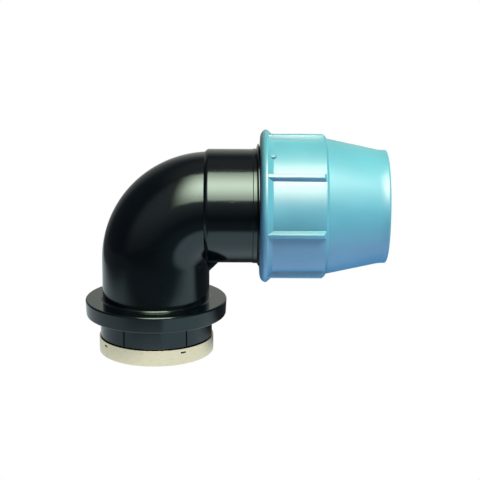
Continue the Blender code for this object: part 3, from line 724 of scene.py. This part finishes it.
def repeated_piece():
    """Copies of a piece round Z, as real geometry."""
    group, nodes, entry = geometry_tree("repeated_piece", COPY_SOCKETS)
    close_tree(nodes, copies_round_axis(nodes, entry), entry.outputs["Material"])
    return group


def notches():
    """The geometry, cut by copies of a piece round Z."""
    group, nodes, entry = geometry_tree("notches", COPY_SOCKETS)
    cutters = nodes.add("GeometryNodeRealizeInstances", None, {"Geometry": copies_round_axis(nodes, entry)})
    cut = nodes.add(
        "GeometryNodeMeshBoolean",
        {"operation": "DIFFERENCE", "solver": "EXACT"},
        {"Mesh 1": entry.outputs["Geometry"], "Mesh 2": cutters.outputs[0]},
    )
    close_tree(nodes, cut.outputs[0], entry.outputs["Material"])
    return group


def new_object(name, data):
    """An object for a mesh or a camera, linked to the scene."""
    obj = bpy.data.objects.new(name, data)
    bpy.context.scene.collection.objects.link(obj)
    return obj


def grown(group, settings, mesh=None):
    """The plain mesh that a Geometry Nodes tree makes with these inputs."""
    obj = new_object(group.name, mesh or bpy.data.meshes.new(group.name))
    modifier = obj.modifiers.new(group.name, "NODES")
    modifier.node_group = group
    identifiers = {
        item.name: item.identifier for item in group.interface.items_tree if item.in_out == "INPUT"
    }
    for name, value in settings.items():
        modifier[identifiers[name]] = value
    bpy.context.view_layer.update()
    graph = bpy.context.evaluated_depsgraph_get()
    result = bpy.data.meshes.new_from_object(obj.evaluated_get(graph))
    bpy.data.objects.remove(obj, do_unlink=True)
    return result


def copies(kind, piece, number, phase, material, mesh=None):
    """The mesh that the tree kind makes of a piece, which is used up."""
    settings = {"Piece": piece, "Count": number, "Phase": phase, "Material": material}
    result = grown(kind, settings, mesh)
    bpy.data.objects.remove(piece, do_unlink=True)
    return result


def rounded(outline):
    """A closed outline's points; a corner's third value gives it an arc, held by a point on both sides."""
    points = []
    for i, corner in enumerate(outline):
        here = Vector(corner[:2])
        if len(corner) < 3:
            points.append(here)
            continue
        before = Vector(outline[i - 1][:2]) - here
        after = Vector(outline[(i + 1) % len(outline)][:2]) - here
        half_angle = before.angle(after) / 2
        reach = min(corner[2] / tan(half_angle), FILLET_SHARE * before.length, FILLET_SHARE * after.length)
        radius = reach * tan(half_angle)
        centre = here + (before.normalized() + after.normalized()).normalized() * (radius / sin(half_angle))
        first = here + before.normalized() * reach - centre
        last = here + after.normalized() * reach - centre
        sweep = first.angle_signed(last)
        steps = max(2, ceil(abs(sweep) / ARC_STEP))
        hold = min(HOLD, reach * HOLD_SHARE)
        points.append(here + before.normalized() * (reach + hold))
        for step in range(steps + 1):
            points.append(centre + Matrix.Rotation(-sweep * step / steps, 2) @ first)
        points.append(here + after.normalized() * (reach + hold))
    return points


def divided(points, start, end, step):
    """The closed outline with its long edges divided where they run between two places."""
    result = []
    for i, here in enumerate(points):
        after = points[(i + 1) % len(points)]
        result.append(here)
        low, high = sorted((here[1], after[1]))
        low, high = max(low, start), min(high, end)
        if high - low <= step:
            continue
        parts = ceil((high - low) / step)
        stops = [low + (high - low) * k / parts for k in range(parts + 1)]
        if after[1] < here[1]:
            stops.reverse()
        for place in stops:
            share = (place - here[1]) / (after[1] - here[1])
            if SPLIT_MARGIN < share < 1 - SPLIT_MARGIN:
                result.append(Vector(here).lerp(Vector(after), share))
    return result


def straight_path(place):
    """The centre and direction at a place on the Z axis."""
    return Vector((0.0, 0.0, place)), Vector((0.0, 0.0, 1.0))


def ring_shell(name, outline, segments, path=straight_path):
    """A closed shell: an outline of (radius, place), carried round a path like straight_path."""
    side = Vector((0.0, 1.0, 0.0))
    verts = []
    for radius, place in outline:
        centre, direction = path(place)
        across = side.cross(direction)
        for k in range(segments):
            spoke = 2 * pi * k / segments
            verts.append(centre + radius * (cos(spoke) * across + sin(spoke) * side))
    faces = []
    for i in range(len(outline)):
        near = i * segments
        far = (i + 1) % len(outline) * segments
        for k in range(segments):
            after = (k + 1) % segments
            faces.append((near + k, near + after, far + after, far + k))
    mesh = bpy.data.meshes.new(name)
    mesh.from_pydata(verts, [], faces)
    return facing_out(mesh)


def facing_out(mesh):
    """The mesh of closed shells, with its faces turned outwards."""
    bm = bmesh.new()
    bm.from_mesh(mesh)
    bmesh.ops.recalc_face_normals(bm, faces=bm.faces)
    bm.to_mesh(mesh)
    bm.free()
    return mesh


def mesh_of(bm, name):
    """The mesh of a bmesh, which is used up."""
    mesh = bpy.data.meshes.new(name)
    bm.to_mesh(mesh)
    bm.free()
    return mesh


def joined(name, meshes, transform=None):
    """One mesh of several closed shells, moved into place."""
    bm = bmesh.new()
    for mesh in meshes:
        bm.from_mesh(mesh)
        bpy.data.meshes.remove(mesh)
    result = mesh_of(bm, name)
    if transform:
        result.transform(transform)
    return result


def bevel(bm, edges, width, steps=BEVEL_STEPS):
    """Rounds some edges of a bmesh."""
    bmesh.ops.bevel(
        bm, geom=edges, offset=width, offset_type="OFFSET", segments=steps, profile=0.5, affect="EDGES"
    )


def block(name, corners, edge=0.0):
    """An object of six faces; corners(x, y, z), each -1 or 1, gives the place of a corner."""
    bm = bmesh.new()
    bmesh.ops.create_cube(bm, size=2.0)
    for vert in bm.verts:
        vert.co = Vector(corners(round(vert.co.x), round(vert.co.y), round(vert.co.z)))
    if edge:
        bevel(bm, bm.edges, edge)
    bmesh.ops.recalc_face_normals(bm, faces=bm.faces)
    return new_object(name, mesh_of(bm, name))


def dress(name, mesh, material, body, node):
    """Shades a finished mesh and lets it stand for its CAD node."""
    mesh.materials.clear()
    mesh.materials.append(material)
    mesh.polygons.foreach_set("material_index", [0] * len(mesh.polygons))
    mesh.shade_smooth()
    mesh.set_sharp_from_angle(angle=SHARP_ANGLE)
    piece = new_object(name, mesh)
    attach(piece, body)
    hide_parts(node)
    return piece


def ridge(thread, root, turns, start_angle, start_height, material, **other):
    """The coarse thread's ridge, or another thread's where other gives its own sizes."""
    settings = {
        "Root Radius": root,
        "Height": thread.height,
        "Sunk": SUNK,
        "Crest Width": thread.crest,
        "Foot Width": thread.foot,
        "Edge Radius": thread.edge,
        "Pitch": thread.pitch,
        "Turns": turns,
        "Start Angle": start_angle,
        "Start Height": start_height,
        "Run-out": thread.run_out,
        "End Size": thread.end_size,
        "Inwards": False,
        "Steps": THREAD_STEPS,
        "Material": material,
    }
    settings.update(other)
    return facing_out(grown(ready(helical_ridge), settings))


def body_shell(body, passage):
    """Spigot, disc, leg and bend, outside and inside, as one closed shell round the bent middle line."""
    leg_top = AXIS_HEIGHT - body.bend_radius
    quarter = body.bend_radius * pi / 2
    end = leg_top + quarter + passage.stop - body.bend_radius
    groove_low = RING_TOP - REST_GAP
    neck = passage.thread_major - passage.bend_bore
    outline = (
        (body.seat - body.seat_chamfer, body.seat_foot),
        (body.seat, body.seat_foot + body.seat_chamfer),
        (body.seat, groove_low),
        (body.relief, groove_low),
        (body.relief, RING_TOP + body.relief_height),
        (body.spigot, RING_TOP + body.relief_height, FINE_FILLET),
        (body.spigot, body.spigot_top, SPIGOT_FILLET),
        (body.disc - body.disc_draft, body.spigot_top, body.disc_edge),
        (body.disc, body.disc_top, body.disc_edge),
        (body.tube, body.disc_top, body.disc_root),
        (body.tube, end),
        (passage.bend_bore, end),
        (passage.bend_bore, passage.thread_length + neck, ROUND_FILLET),
        (passage.thread_major, passage.thread_length),
        (passage.thread_major, body.seat_foot + passage.lead_in),
        (passage.thread_major + passage.lead_in / 2, body.seat_foot),
    )

    def bent_path(place):
        """The centre and direction at a place along the leg and the bend."""
        if place <= leg_top:
            return straight_path(place)
        turn = min((place - leg_top) / body.bend_radius, pi / 2)
        beyond = max(0.0, place - leg_top - quarter)
        reach = body.bend_radius * (1 - cos(turn)) + beyond
        centre = Vector((reach, 0.0, leg_top + body.bend_radius * sin(turn)))
        return centre, Vector((sin(turn), 0.0, cos(turn)))

    points = divided(rounded(outline), leg_top, end, BEND_STEP * body.bend_radius)
    return ring_shell("body_shell", points, SEGMENTS, bent_path)


def spigot_cutter(body):
    """The form that a groove takes out of the spigot, at angle 0."""
    low = RING_TOP + body.relief_height / 2
    high = body.spigot_top - body.groove_margin

    def corners(x, y, z):
        across = body.spigot + (SUNK if x > 0 else -body.groove_depth)
        return across, y * body.groove_width / 2, high if z > 0 else low

    return block("groove_cutter", corners)


def collar_shell(body, passage, thread):
    """The pipe socket's wall as a closed shell: slope, low band, thread root, seal seat and mouth."""
    overlap = 2 * SUNK
    slope = body.collar - body.tube + overlap
    band_start = thread.start - body.band_length
    band_step = body.band - body.collar
    start = body.collar_start - overlap
    outline = (
        (thread.root, BODY_END, ROUND_FILLET),
        (thread.root, thread.start + thread.shoulder, SOFT_FILLET),
        (body.band, thread.start, BAND_FILLET),
        (body.band, band_start, FINE_FILLET),
        (body.collar, band_start - band_step, FINE_FILLET),
        (body.collar, start + slope, body.collar_edge),
        (body.tube - overlap, start),
        (passage.socket_bore, start),
        (passage.socket_bore, passage.seal_ledge, SMALL_FILLET),
        (passage.seal_bore, passage.seal_ledge, SMALL_FILLET),
        (passage.seal_bore, BODY_END - passage.entry, SMALL_FILLET),
        (passage.seal_bore + passage.entry, BODY_END, SMALL_FILLET),
    )
    return ring_shell("collar_shell", rounded(outline), SEGMENTS)


def throat_web(body):
    """The small triangular web where the collar's underside meets the leg."""
    collar_face = AXIS_HEIGHT - body.collar
    sunk = 3 * SUNK
    corners = (
        (body.tube - sunk, collar_face - body.web_leg - sunk),
        (body.tube + body.web_leg + sunk, collar_face + sunk),
        (body.tube - sunk, collar_face + sunk),
    )
    near = -body.web_thickness / 2
    bm = bmesh.new()
    face = bm.faces.new([bm.verts.new((place, near, height)) for place, height in corners])
    pushed = bmesh.ops.extrude_face_region(bm, geom=[face])
    for item in pushed["geom"]:
        if isinstance(item, bmesh.types.BMVert):
            item.co.y += body.web_thickness
    bevel(bm, bm.edges, body.web_edge)
    bmesh.ops.recalc_face_normals(bm, faces=bm.faces)
    return mesh_of(bm, "throat_web")


class ELBOW_OT_mould_body(bpy.types.Operator):
    """Moulds the black body with its bend, disc, spigot, pipe socket and threads"""

    bl_idname = "elbow.mould_body"
    bl_label = "Mould the body"

    def execute(self, context):
        scene = context.scene
        body, passage, thread = scene.elbow_body, scene.elbow_passage, scene.elbow_thread
        material = ready(black_moulding, scene.elbow_finishes)
        shell = body_shell(body, passage)
        for turn in (body.groove_right, body.groove_left):
            shell = copies(ready(notches), spigot_cutter(body), PAIR, turn + FRONT, material, shell)
        collar = collar_shell(body, passage, thread)
        coarse = ridge(
            thread, thread.root, thread.body_turns, thread.phase, thread.start, material,
            Sunk=thread.root - body.band + SUNK / 2,
        )
        own_sizes = {
            "Height": passage.thread_height,
            "Sunk": passage.thread_sunk,
            "Crest Width": passage.thread_crest,
            "Foot Width": passage.thread_foot,
            "Edge Radius": passage.thread_edge,
            "Pitch": passage.thread_pitch,
        }
        fine = ridge(
            thread, passage.thread_major, passage.thread_length / passage.thread_pitch - FREE_TURNS, 0.0,
            body.seat_foot + passage.thread_pitch, material, Inwards=True, **own_sizes,
        )
        for mesh in (collar, coarse):
            mesh.transform(ON_PIPE_AXIS)
        mesh = joined("elbow_moulding", (shell, collar, coarse, fine, throat_web(body)))
        dress("elbow_moulding", mesh, material, "elbow", "elbow_body")
        return {"FINISHED"}


class ELBOW_OT_press_ring(bpy.types.Operator):
    """Presses the steel ring round the threaded spigot, with its lip and slots"""

    bl_idname = "elbow.press_ring"
    bl_label = "Press the steel ring"

    def execute(self, context):
        sizes = context.scene.elbow_inner
        material = ready(satin_steel, context.scene.elbow_finishes)
        outer = sizes.ring_inner + sizes.ring_wall
        lip = sizes.ring_inner - sizes.ring_lip
        outline = (
            (sizes.ring_inner, RING_TOP, sizes.ring_brim),
            (outer, RING_TOP, sizes.ring_brim),
            (outer, 0.0, sizes.ring_edge),
            (lip, 0.0, sizes.ring_brim),
            (lip, sizes.ring_wall, sizes.ring_brim),
            (sizes.ring_inner, sizes.ring_wall),
        )
        shell = ring_shell("steel_ring", rounded(outline), SEGMENTS)
        middle = RING_TOP - sizes.punch_drop

        def corners(x, y, z):
            across = outer + (SUNK if x > 0 else -sizes.punch_depth)
            return across, y * sizes.punch_width / 2, middle + z * sizes.punch_height / 2

        for turn in (sizes.punch_right, sizes.punch_left):
            shell = copies(ready(notches), block("punch", corners), PAIR, turn + FRONT, material, shell)
        dress("steel_ring", shell, material, "elbow", "reinforcing_ring")
        return {"FINISHED"}


def nut_bore(thread):
    """The radius of the nut's bore, which is its thread's root."""
    return thread.root + thread.height + thread.clearance


def nut_shell(nut, thread):
    """The nut turned round its axis, from the flat face at height 0 to the nose."""
    bore = nut_bore(thread)
    cone_start = nut.panel_end
    cone_end = cone_start + nut.cone_length
    end = NUT_END - NUT_START
    inner_end = bore - nut.cone_length * tan(nut.taper)
    land_place = end - nut.end_land
    land = bore - (land_place - cone_start) * tan(nut.taper) + nut.nose_wall
    panel_end = nut.panel - nut.panel_draft
    flange = nut.panel + nut.flange_height
    round_face = []
    for step in range(FACE_STEPS + 1):
        turn = pi / 2 * step / FACE_STEPS
        drop = nut.flange_face * (1 - cos(turn))
        round_face.append((flange - drop, nut.flange_rise * (1 - sin(turn))))
    outline = (
        (land, end, nut.end_edge),
        (land, end - nut.end_turn, nut.end_blend),
        (nut.nose, cone_start, SOFT_FILLET),
        (panel_end - nut.panel_chamfer, cone_start - nut.panel_chamfer / 2, SOFT_FILLET),
        (panel_end, cone_start - nut.panel_setback, SOFT_FILLET),
        (nut.panel, nut.flange_width + nut.flange_slope, PANEL_FILLET),
        (flange, nut.flange_width, nut.flange_edge),
        *round_face,
        (bore + nut.entry, 0.0, SMALL_FILLET),
        (bore, nut.entry, SMALL_FILLET),
        (bore, cone_start),
        (inner_end, cone_end),
        (nut.mouth, cone_end, SMALL_FILLET),
        (nut.mouth, end - nut.mouth_chamfer, SMALL_FILLET),
        (nut.mouth + nut.mouth_chamfer, end, SMALL_FILLET),
    )
    return ring_shell("nut_shell", rounded(outline), SEGMENTS)


def rib_piece(nut):
    """One tapered rib, standing on the panel at angle 0."""
    foot_radius = nut.panel - nut.panel_draft - SUNK
    top_radius = nut.panel + nut.rib_height
    start = nut.flange_width - SUNK
    end = nut.panel_end - nut.panel_setback
    foot = nut.rib_foot + SUNK * (nut.rib_foot - nut.rib_top) / nut.rib_height

    def corners(x, y, z):
        width = nut.rib_top if x > 0 else foot
        back = end - (nut.rib_setback if x > 0 else 0.0)
        return (top_radius if x > 0 else foot_radius), y * width / 2, back if z > 0 else start

    return block("rib", corners, nut.rib_edge)


def lug_piece(nut):
    """The small round boss in the corner of flange and panel."""
    depth = nut.lug_height + 2 * SUNK
    bm = bmesh.new()
    bmesh.ops.create_cone(
        bm, cap_ends=True, segments=LUG_SEGMENTS, radius1=nut.lug, radius2=nut.lug_top, depth=depth
    )
    rims = [edge for edge in bm.edges if all(vert.co.z > 0 for vert in edge.verts)]
    bevel(bm, rims, nut.lug_edge, LUG_RIM_STEPS)
    middle = nut.panel + nut.lug_height - depth / 2
    bm.transform(Matrix.Translation((middle, 0.0, nut.lug_offset)) @ Matrix.Rotation(pi / 2, 4, "Y"))
    return new_object("lug", mesh_of(bm, "lug"))


class ELBOW_OT_mould_nut(bpy.types.Operator):
    """Moulds the blue compression nut with its ribs, boss, nose and thread"""

    bl_idname = "elbow.mould_nut"
    bl_label = "Mould the nut"

    def execute(self, context):
        scene = context.scene
        nut, thread = scene.elbow_nut, scene.elbow_thread
        material = ready(blue_moulding, scene.elbow_finishes)
        ribs = copies(ready(repeated_piece), rib_piece(nut), nut.rib_count, nut.rib_phase, material)
        lug = copies(ready(repeated_piece), lug_piece(nut), 1, nut.lug_angle, material)
        body_phase = thread.phase + 2 * pi * (NUT_START + thread.nut_inset - thread.start) / thread.pitch
        coarse = ridge(
            thread, nut_bore(thread), thread.nut_turns, body_phase + pi, thread.nut_inset, material,
            Inwards=True,
        )
        mesh = joined("nut_moulding", (nut_shell(nut, thread), ribs, lug, coarse), ON_PIPE_AXIS_FROM_NUT)
        dress("nut_moulding", mesh, material, "nut", "compression_nut")
        return {"FINISHED"}


class ELBOW_OT_fit_seal(bpy.types.Operator):
    """Fits the rubber seal and the black thrust bush in the socket"""

    bl_idname = "elbow.fit_seal"
    bl_label = "Fit the seal and bush"

    def execute(self, context):
        scene = context.scene
        sizes, passage = scene.elbow_inner, scene.elbow_passage
        cord = (SEAL_END - SEAL_START) / 2
        middle = (SEAL_START + SEAL_END) / 2
        ring_radius = passage.seal_bore - REST_GAP - cord
        spokes = [2 * pi * k / SEAL_SIDES for k in range(SEAL_SIDES)]
        section = [(ring_radius + cord * cos(spoke), middle + cord * sin(spoke)) for spoke in spokes]
        seal = ring_shell("seal", section, INNER_SEGMENTS)
        seal.transform(ON_PIPE_AXIS)
        rubber = ready(seal_rubber, scene.elbow_finishes)
        dress("seal", seal, rubber, "elbow", "o_ring")

        flange_start = BUSH_END - sizes.bush_flange_length
        edge = sizes.bush_edge
        corners = (
            (sizes.bush_flange, BUSH_END - edge),
            (sizes.bush_flange, flange_start),
            (sizes.bush_radius, flange_start),
            (sizes.bush_radius, BUSH_START),
            (passage.socket_bore, BUSH_START),
            (passage.socket_bore, BUSH_END - edge),
            (passage.socket_bore + edge, BUSH_END),
            (sizes.bush_flange - edge, BUSH_END),
        )
        outline = [(*corner, SMALL_FILLET) for corner in corners]
        bush = ring_shell("bush", rounded(outline), INNER_SEGMENTS)
        bush.transform(ON_PIPE_AXIS)
        plastic = ready(black_moulding, scene.elbow_finishes)
        dress("bush", bush, plastic, "elbow", "thrust_bush")
        return {"FINISHED"}


class ELBOW_OT_cut_grip_ring(bpy.types.Operator):
    """Cuts the split white ring whose teeth hold the pipe"""

    bl_idname = "elbow.cut_grip_ring"
    bl_label = "Cut the grip ring"

    def execute(self, context):
        scene = context.scene
        sizes, nut, thread = scene.elbow_inner, scene.elbow_nut, scene.elbow_thread
        material = ready(white_moulding, scene.elbow_finishes)
        back = nut_bore(thread) - sizes.cone_gap
        cone_start = GRIP_START + sizes.grip_back
        root = sizes.tooth_tip + sizes.tooth_depth
        teeth_start = GRIP_END - sizes.tooth_setback - sizes.tooth_count * sizes.tooth_pitch
        outline = [
            (back - (GRIP_END - cone_start) * tan(nut.taper), GRIP_END, SMALL_FILLET),
            (back, cone_start, SMALL_FILLET),
            (back, GRIP_START + sizes.grip_chamfer, SOFT_FILLET),
            (back - sizes.grip_chamfer, GRIP_START, SOFT_FILLET),
            (root, GRIP_START, SMALL_FILLET),
        ]
        for k in range(sizes.tooth_count):
            tooth = teeth_start + k * sizes.tooth_pitch
            outline.append((root, tooth, TOOTH_FILLET))
            outline.append((sizes.tooth_tip, tooth + sizes.tooth_face, HAIR_FILLET))
        outline.append((root, teeth_start + sizes.tooth_count * sizes.tooth_pitch, TOOTH_FILLET))
        outline.append((root, GRIP_END, FINE_FILLET))
        shell = ring_shell("grip_ring", rounded(outline), INNER_SEGMENTS)

        def corners(x, y, z):
            across = back + SUNK if x > 0 else sizes.tooth_tip - SUNK
            return across, y * sizes.slot_width / 2, GRIP_END + SUNK if z > 0 else GRIP_START - SUNK

        mesh = copies(ready(notches), block("slot_cutter", corners), 1, 0.0, material, shell)
        mesh.transform(ON_PIPE_AXIS)
        dress("grip_ring_moulding", mesh, material, "grip", "grip_ring")
        return {"FINISHED"}


# Camera: width of the sensor in millimetres, and the nearest and farthest distance that it shows
SENSOR_WIDTH = 36.0
CLIP_RANGE = (0.05, 60.0)

# Softbox: share of its glow at the front and rear edges, and where it reaches its full glow from the left
SOFTBOX_EDGE_SHARE = 0.4
SOFTBOX_FULL_PLACE = -0.1

# Lit patch: where its changes start and end, along X first and then along Y, and its shares of the glow
PATCH_NEAR = (0.06, 0.02)
PATCH_FAR = (0.12, 0.32)
PATCH_RIGHT = (-0.10, 0.0)
PATCH_BEHIND = (0.0, -0.2)
PATCH_REST = (-0.6, -0.3)
PATCH_LEFT_FADE = 0.2
PATCH_LEFT_SHARE = 0.59
PATCH_SHADOW = 0.95
REST_FRONT_SHARE = 0.045
REST_SHARE = 0.115

# Room: where its parts start and are full, by a direction's share towards the front, up or to the right
WALL_BEHIND = (-0.6, -0.95)
WALL_UP = (0.85, 0.42)
WALL_RIGHT = (-0.42, -0.06)
WALL_LEFT_SHARE = 0.45
TAIL_UP = (-0.25, 0.45)
TAIL_FRONT = (0.2, 0.6)
CEILING_UP = (0.75, 0.98)
MATT_SHARE = 0.5
LEAST_LEVEL = 0.0001

WHITE = (1.0, 1.0, 1.0, 1.0)
FLOOR_REACH = 12.0


def glow_material(name, shade, strength_of):
    """An emitter whose strength is worked out from its Object coordinates."""
    material = bpy.data.materials.new(name)
    material.use_nodes = True
    tree = material.node_tree
    tree.nodes.clear()
    nodes = Nodes(tree)
    strength = strength_of(*nodes.axes(nodes.add("ShaderNodeTexCoord").outputs["Object"]))
    glow = nodes.add("ShaderNodeEmission", None, {"Color": shade, "Strength": strength})
    nodes.add("ShaderNodeOutputMaterial", None, {"Surface": glow.outputs[0]})
    return material


def staged_sheet(name, left, right, front, back, material, hidden_from):
    """A flat rectangle, hidden from some kinds of ray."""
    bm = bmesh.new()
    corners = ((left, front), (right, front), (right, back), (left, back))
    bm.faces.new([bm.verts.new((x, y, 0.0)) for x, y in corners])
    mesh = mesh_of(bm, name)
    mesh.materials.append(material)
    sheet = new_object(name, mesh)
    for ray in hidden_from:
        setattr(sheet, "visible_" + ray, False)
    return sheet


def hang(light, height, distance):
    """Turns a sheet to the pipe's axis above the leg, from a height angle in front of it."""
    target = Vector((0.0, 0.0, AXIS_HEIGHT))
    light.location = target + Vector((0.0, -cos(height), sin(height))) * distance
    light.rotation_euler = (pi / 2 - height, 0.0, 0.0)


def lay(name, left, reach, material, *hidden_from):
    """A level sheet at the elbow's foot, which casts no shadow."""
    sheet = staged_sheet(name, -left, reach, -reach, reach, material, (*hidden_from, "shadow"))
    sheet.location = (0.0, 0.0, CAD_BOX[0][2])


def make_softbox(studio):
    """The window light in front of and above the elbow, brightest in its middle, seen only in gloss."""
    reach = studio.softbox_distance * tan((studio.softbox_high - studio.softbox_low) / 2)
    height = (studio.softbox_high + studio.softbox_low) / 2

    def strength(x, y, z):
        middle = y.size().rises(reach, 0.0).between(SOFTBOX_EDGE_SHARE, 1.0)
        from_left = x.rises(-studio.softbox_left, SOFTBOX_FULL_PLACE)
        return middle * from_left * studio.softbox_glow

    glow = glow_material("softbox_glow", rgba(studio.softbox_shade), strength)
    left, right = -studio.softbox_left, studio.softbox_right
    softbox = staged_sheet("softbox", left, right, -reach, reach, glow, ("camera", "diffuse"))
    hang(softbox, height, studio.softbox_distance)


def make_key_light(studio):
    """The light from above that brings out the nut's colour and that gloss doesn't show."""
    half = studio.key_size / 2
    glow = glow_material("key_glow", rgba(studio.key_shade), lambda x, y, z: studio.key_glow)
    left, right = studio.key_side - half, studio.key_side + half
    light = staged_sheet("key_light", left, right, -half, half, glow, ("camera", "glossy"))
    hang(light, studio.key_height, studio.key_distance)


def make_floor(studio):
    """The floor that is seen, the sheet that lights the elbow and the lit patch that its gloss mirrors."""
    seen = glow_material("pale_floor", WHITE, lambda x, y, z: 1.0)
    lay("floor", FLOOR_REACH, FLOOR_REACH, seen, "diffuse", "glossy")

    lit = glow_material("white_sheet", (*studio.sheet_glow, 1.0), lambda x, y, z: 1.0)
    lay("sheet", studio.sheet_left, studio.sheet_reach, lit, "camera", "glossy")

    # Painted light and shadow: the patch's glow paints the floor's pool of light in front of the elbow,
    # dimmer beyond it, and the elbow's shadow behind it
    def strength(x, y, z):
        near = x.rises(*PATCH_NEAR)
        far = x.rises(*PATCH_FAR)

        def along(at_disc, at_socket, beyond_nut):
            return near * (at_disc - at_socket) + far * (beyond_nut - at_socket) + at_socket

        edge = along(studio.near_front, studio.gloss_front, studio.far_front)
        fade = along(studio.near_fade, studio.gloss_fade, studio.far_fade)
        front = ((y + edge) / fade).rises(-1.0, 1.0)
        left_fade = studio.gloss_left * PATCH_LEFT_FADE
        left = x.rises(-studio.gloss_left - left_fade, -studio.gloss_left + left_fade)
        right = x.rises(*PATCH_RIGHT)
        shadow = (y + far * studio.far_shadow).rises(-studio.shadow_front, studio.shadow_back) * right
        behind = right * (1.0 - y.rises(*PATCH_BEHIND))
        rest = y.rises(*PATCH_REST).between(REST_FRONT_SHARE, REST_SHARE) * (1.0 - behind)
        return front * left * right.between(PATCH_LEFT_SHARE, 1.0) * (1.0 - shadow * PATCH_SHADOW) + rest

    patch = glow_material("lit_patch", (*studio.gloss_glow, 1.0), strength)
    lay("mirrored_sheet", studio.sheet_reach, studio.sheet_reach, patch, "camera", "diffuse")


def make_surroundings(studio):
    """The room that gloss shows, pale behind, faint in front and overhead; the camera sees white."""
    world = bpy.data.worlds.new("studio")
    world.use_nodes = True
    bpy.context.scene.world = world
    tree = world.node_tree
    tree.nodes.clear()
    nodes = Nodes(tree)
    x, y, z = nodes.axes(nodes.add("ShaderNodeTexCoord").outputs["Generated"])
    level = (x * x + y * y).root() + LEAST_LEVEL
    to_front = (0.0 - y) / level
    beside = (x / level).rises(*WALL_RIGHT).between(WALL_LEFT_SHARE, 1.0)
    walls = to_front.rises(*WALL_BEHIND) * z.rises(*WALL_UP) * beside
    in_front = z.rises(*TAIL_UP) * to_front.rises(*TAIL_FRONT)
    overhead = z.rises(*CEILING_UP)
    shades = zip(studio.wall_glow, studio.tail_glow, studio.ceiling_glow, studio.dark_glow)
    channels = [
        walls * wall + in_front * tail + overhead * ceiling + dark for wall, tail, ceiling, dark in shades
    ]
    rays = nodes.add("ShaderNodeLightPath").outputs
    matt = nodes.mixed(rays["Is Diffuse Ray"], nodes.vector(*channels), rgba(studio.dark_glow, MATT_SHARE))
    shown = nodes.mixed(rays["Is Camera Ray"], matt, WHITE)
    light = nodes.add("ShaderNodeBackground", None, {"Color": shown, "Strength": 1.0})
    nodes.add("ShaderNodeOutputWorld", None, {"Surface": light.outputs[0]})


def make_camera(studio):
    """The camera at the photograph's viewing angle."""
    camera = bpy.data.cameras.new("camera")
    camera.lens = studio.lens
    camera.sensor_width = SENSOR_WIDTH
    camera.clip_start, camera.clip_end = CLIP_RANGE
    obj = new_object("camera", camera)
    away = Vector((0.0, -cos(studio.elevation), sin(studio.elevation)))
    obj.location = Vector(studio.aim) + away * studio.distance
    tilt = Matrix.Rotation(pi / 2 - studio.elevation, 4, "X") @ Matrix.Rotation(studio.roll, 4, "Z")
    obj.rotation_euler = tilt.to_euler()
    bpy.context.scene.camera = obj


class ELBOW_OT_set_stage(bpy.types.Operator):
    """Sets the camera, the pale floor and the soft studio light"""

    bl_idname = "elbow.set_stage"
    bl_label = "Set the stage"

    def execute(self, context):
        studio = context.scene.elbow_studio
        context.scene.view_settings.view_transform = "Standard"
        make_camera(studio)
        make_floor(studio)
        make_softbox(studio)
        make_key_light(studio)
        make_surroundings(studio)
        return {"FINISHED"}


class ELBOW_PT_panel(bpy.types.Panel):
    """Lists the elbow's pieces and its stage"""

    bl_idname = "ELBOW_PT_panel"
    bl_label = "Compression elbow"
    bl_space_type = "VIEW_3D"
    bl_region_type = "UI"
    bl_category = "Elbow"

    def draw(self, context):
        for operator in OPERATORS:
            self.layout.operator(operator.bl_idname)


GROUPS = {
    "elbow_passage": ElbowPassageSizes,
    "elbow_body": ElbowBodySizes,
    "elbow_thread": ElbowThreadSizes,
    "elbow_nut": ElbowNutSizes,
    "elbow_inner": ElbowInnerSizes,
    "elbow_finishes": ElbowFinishes,
    "elbow_studio": ElbowStudio,
}
OPERATORS = (
    ELBOW_OT_set_stage,
    ELBOW_OT_mould_body,
    ELBOW_OT_press_ring,
    ELBOW_OT_mould_nut,
    ELBOW_OT_fit_seal,
    ELBOW_OT_cut_grip_ring,
)


def register():
    for cls in (*GROUPS.values(), *OPERATORS, ELBOW_PT_panel):
        bpy.utils.register_class(cls)
    for name, cls in GROUPS.items():
        setattr(bpy.types.Scene, name, bpy.props.PointerProperty(type=cls))


def unregister():
    for name in GROUPS:
        delattr(bpy.types.Scene, name)
    for cls in (ELBOW_PT_panel, *reversed(OPERATORS), *reversed(GROUPS.values())):
        bpy.utils.unregister_class(cls)


def main():
    register()
    bpy.ops.elbow.set_stage()
    bpy.ops.elbow.mould_body()
    bpy.ops.elbow.press_ring()
    bpy.ops.elbow.mould_nut()
    bpy.ops.elbow.fit_seal()
    bpy.ops.elbow.cut_grip_ring()


if __name__ == "__main__":
    main()
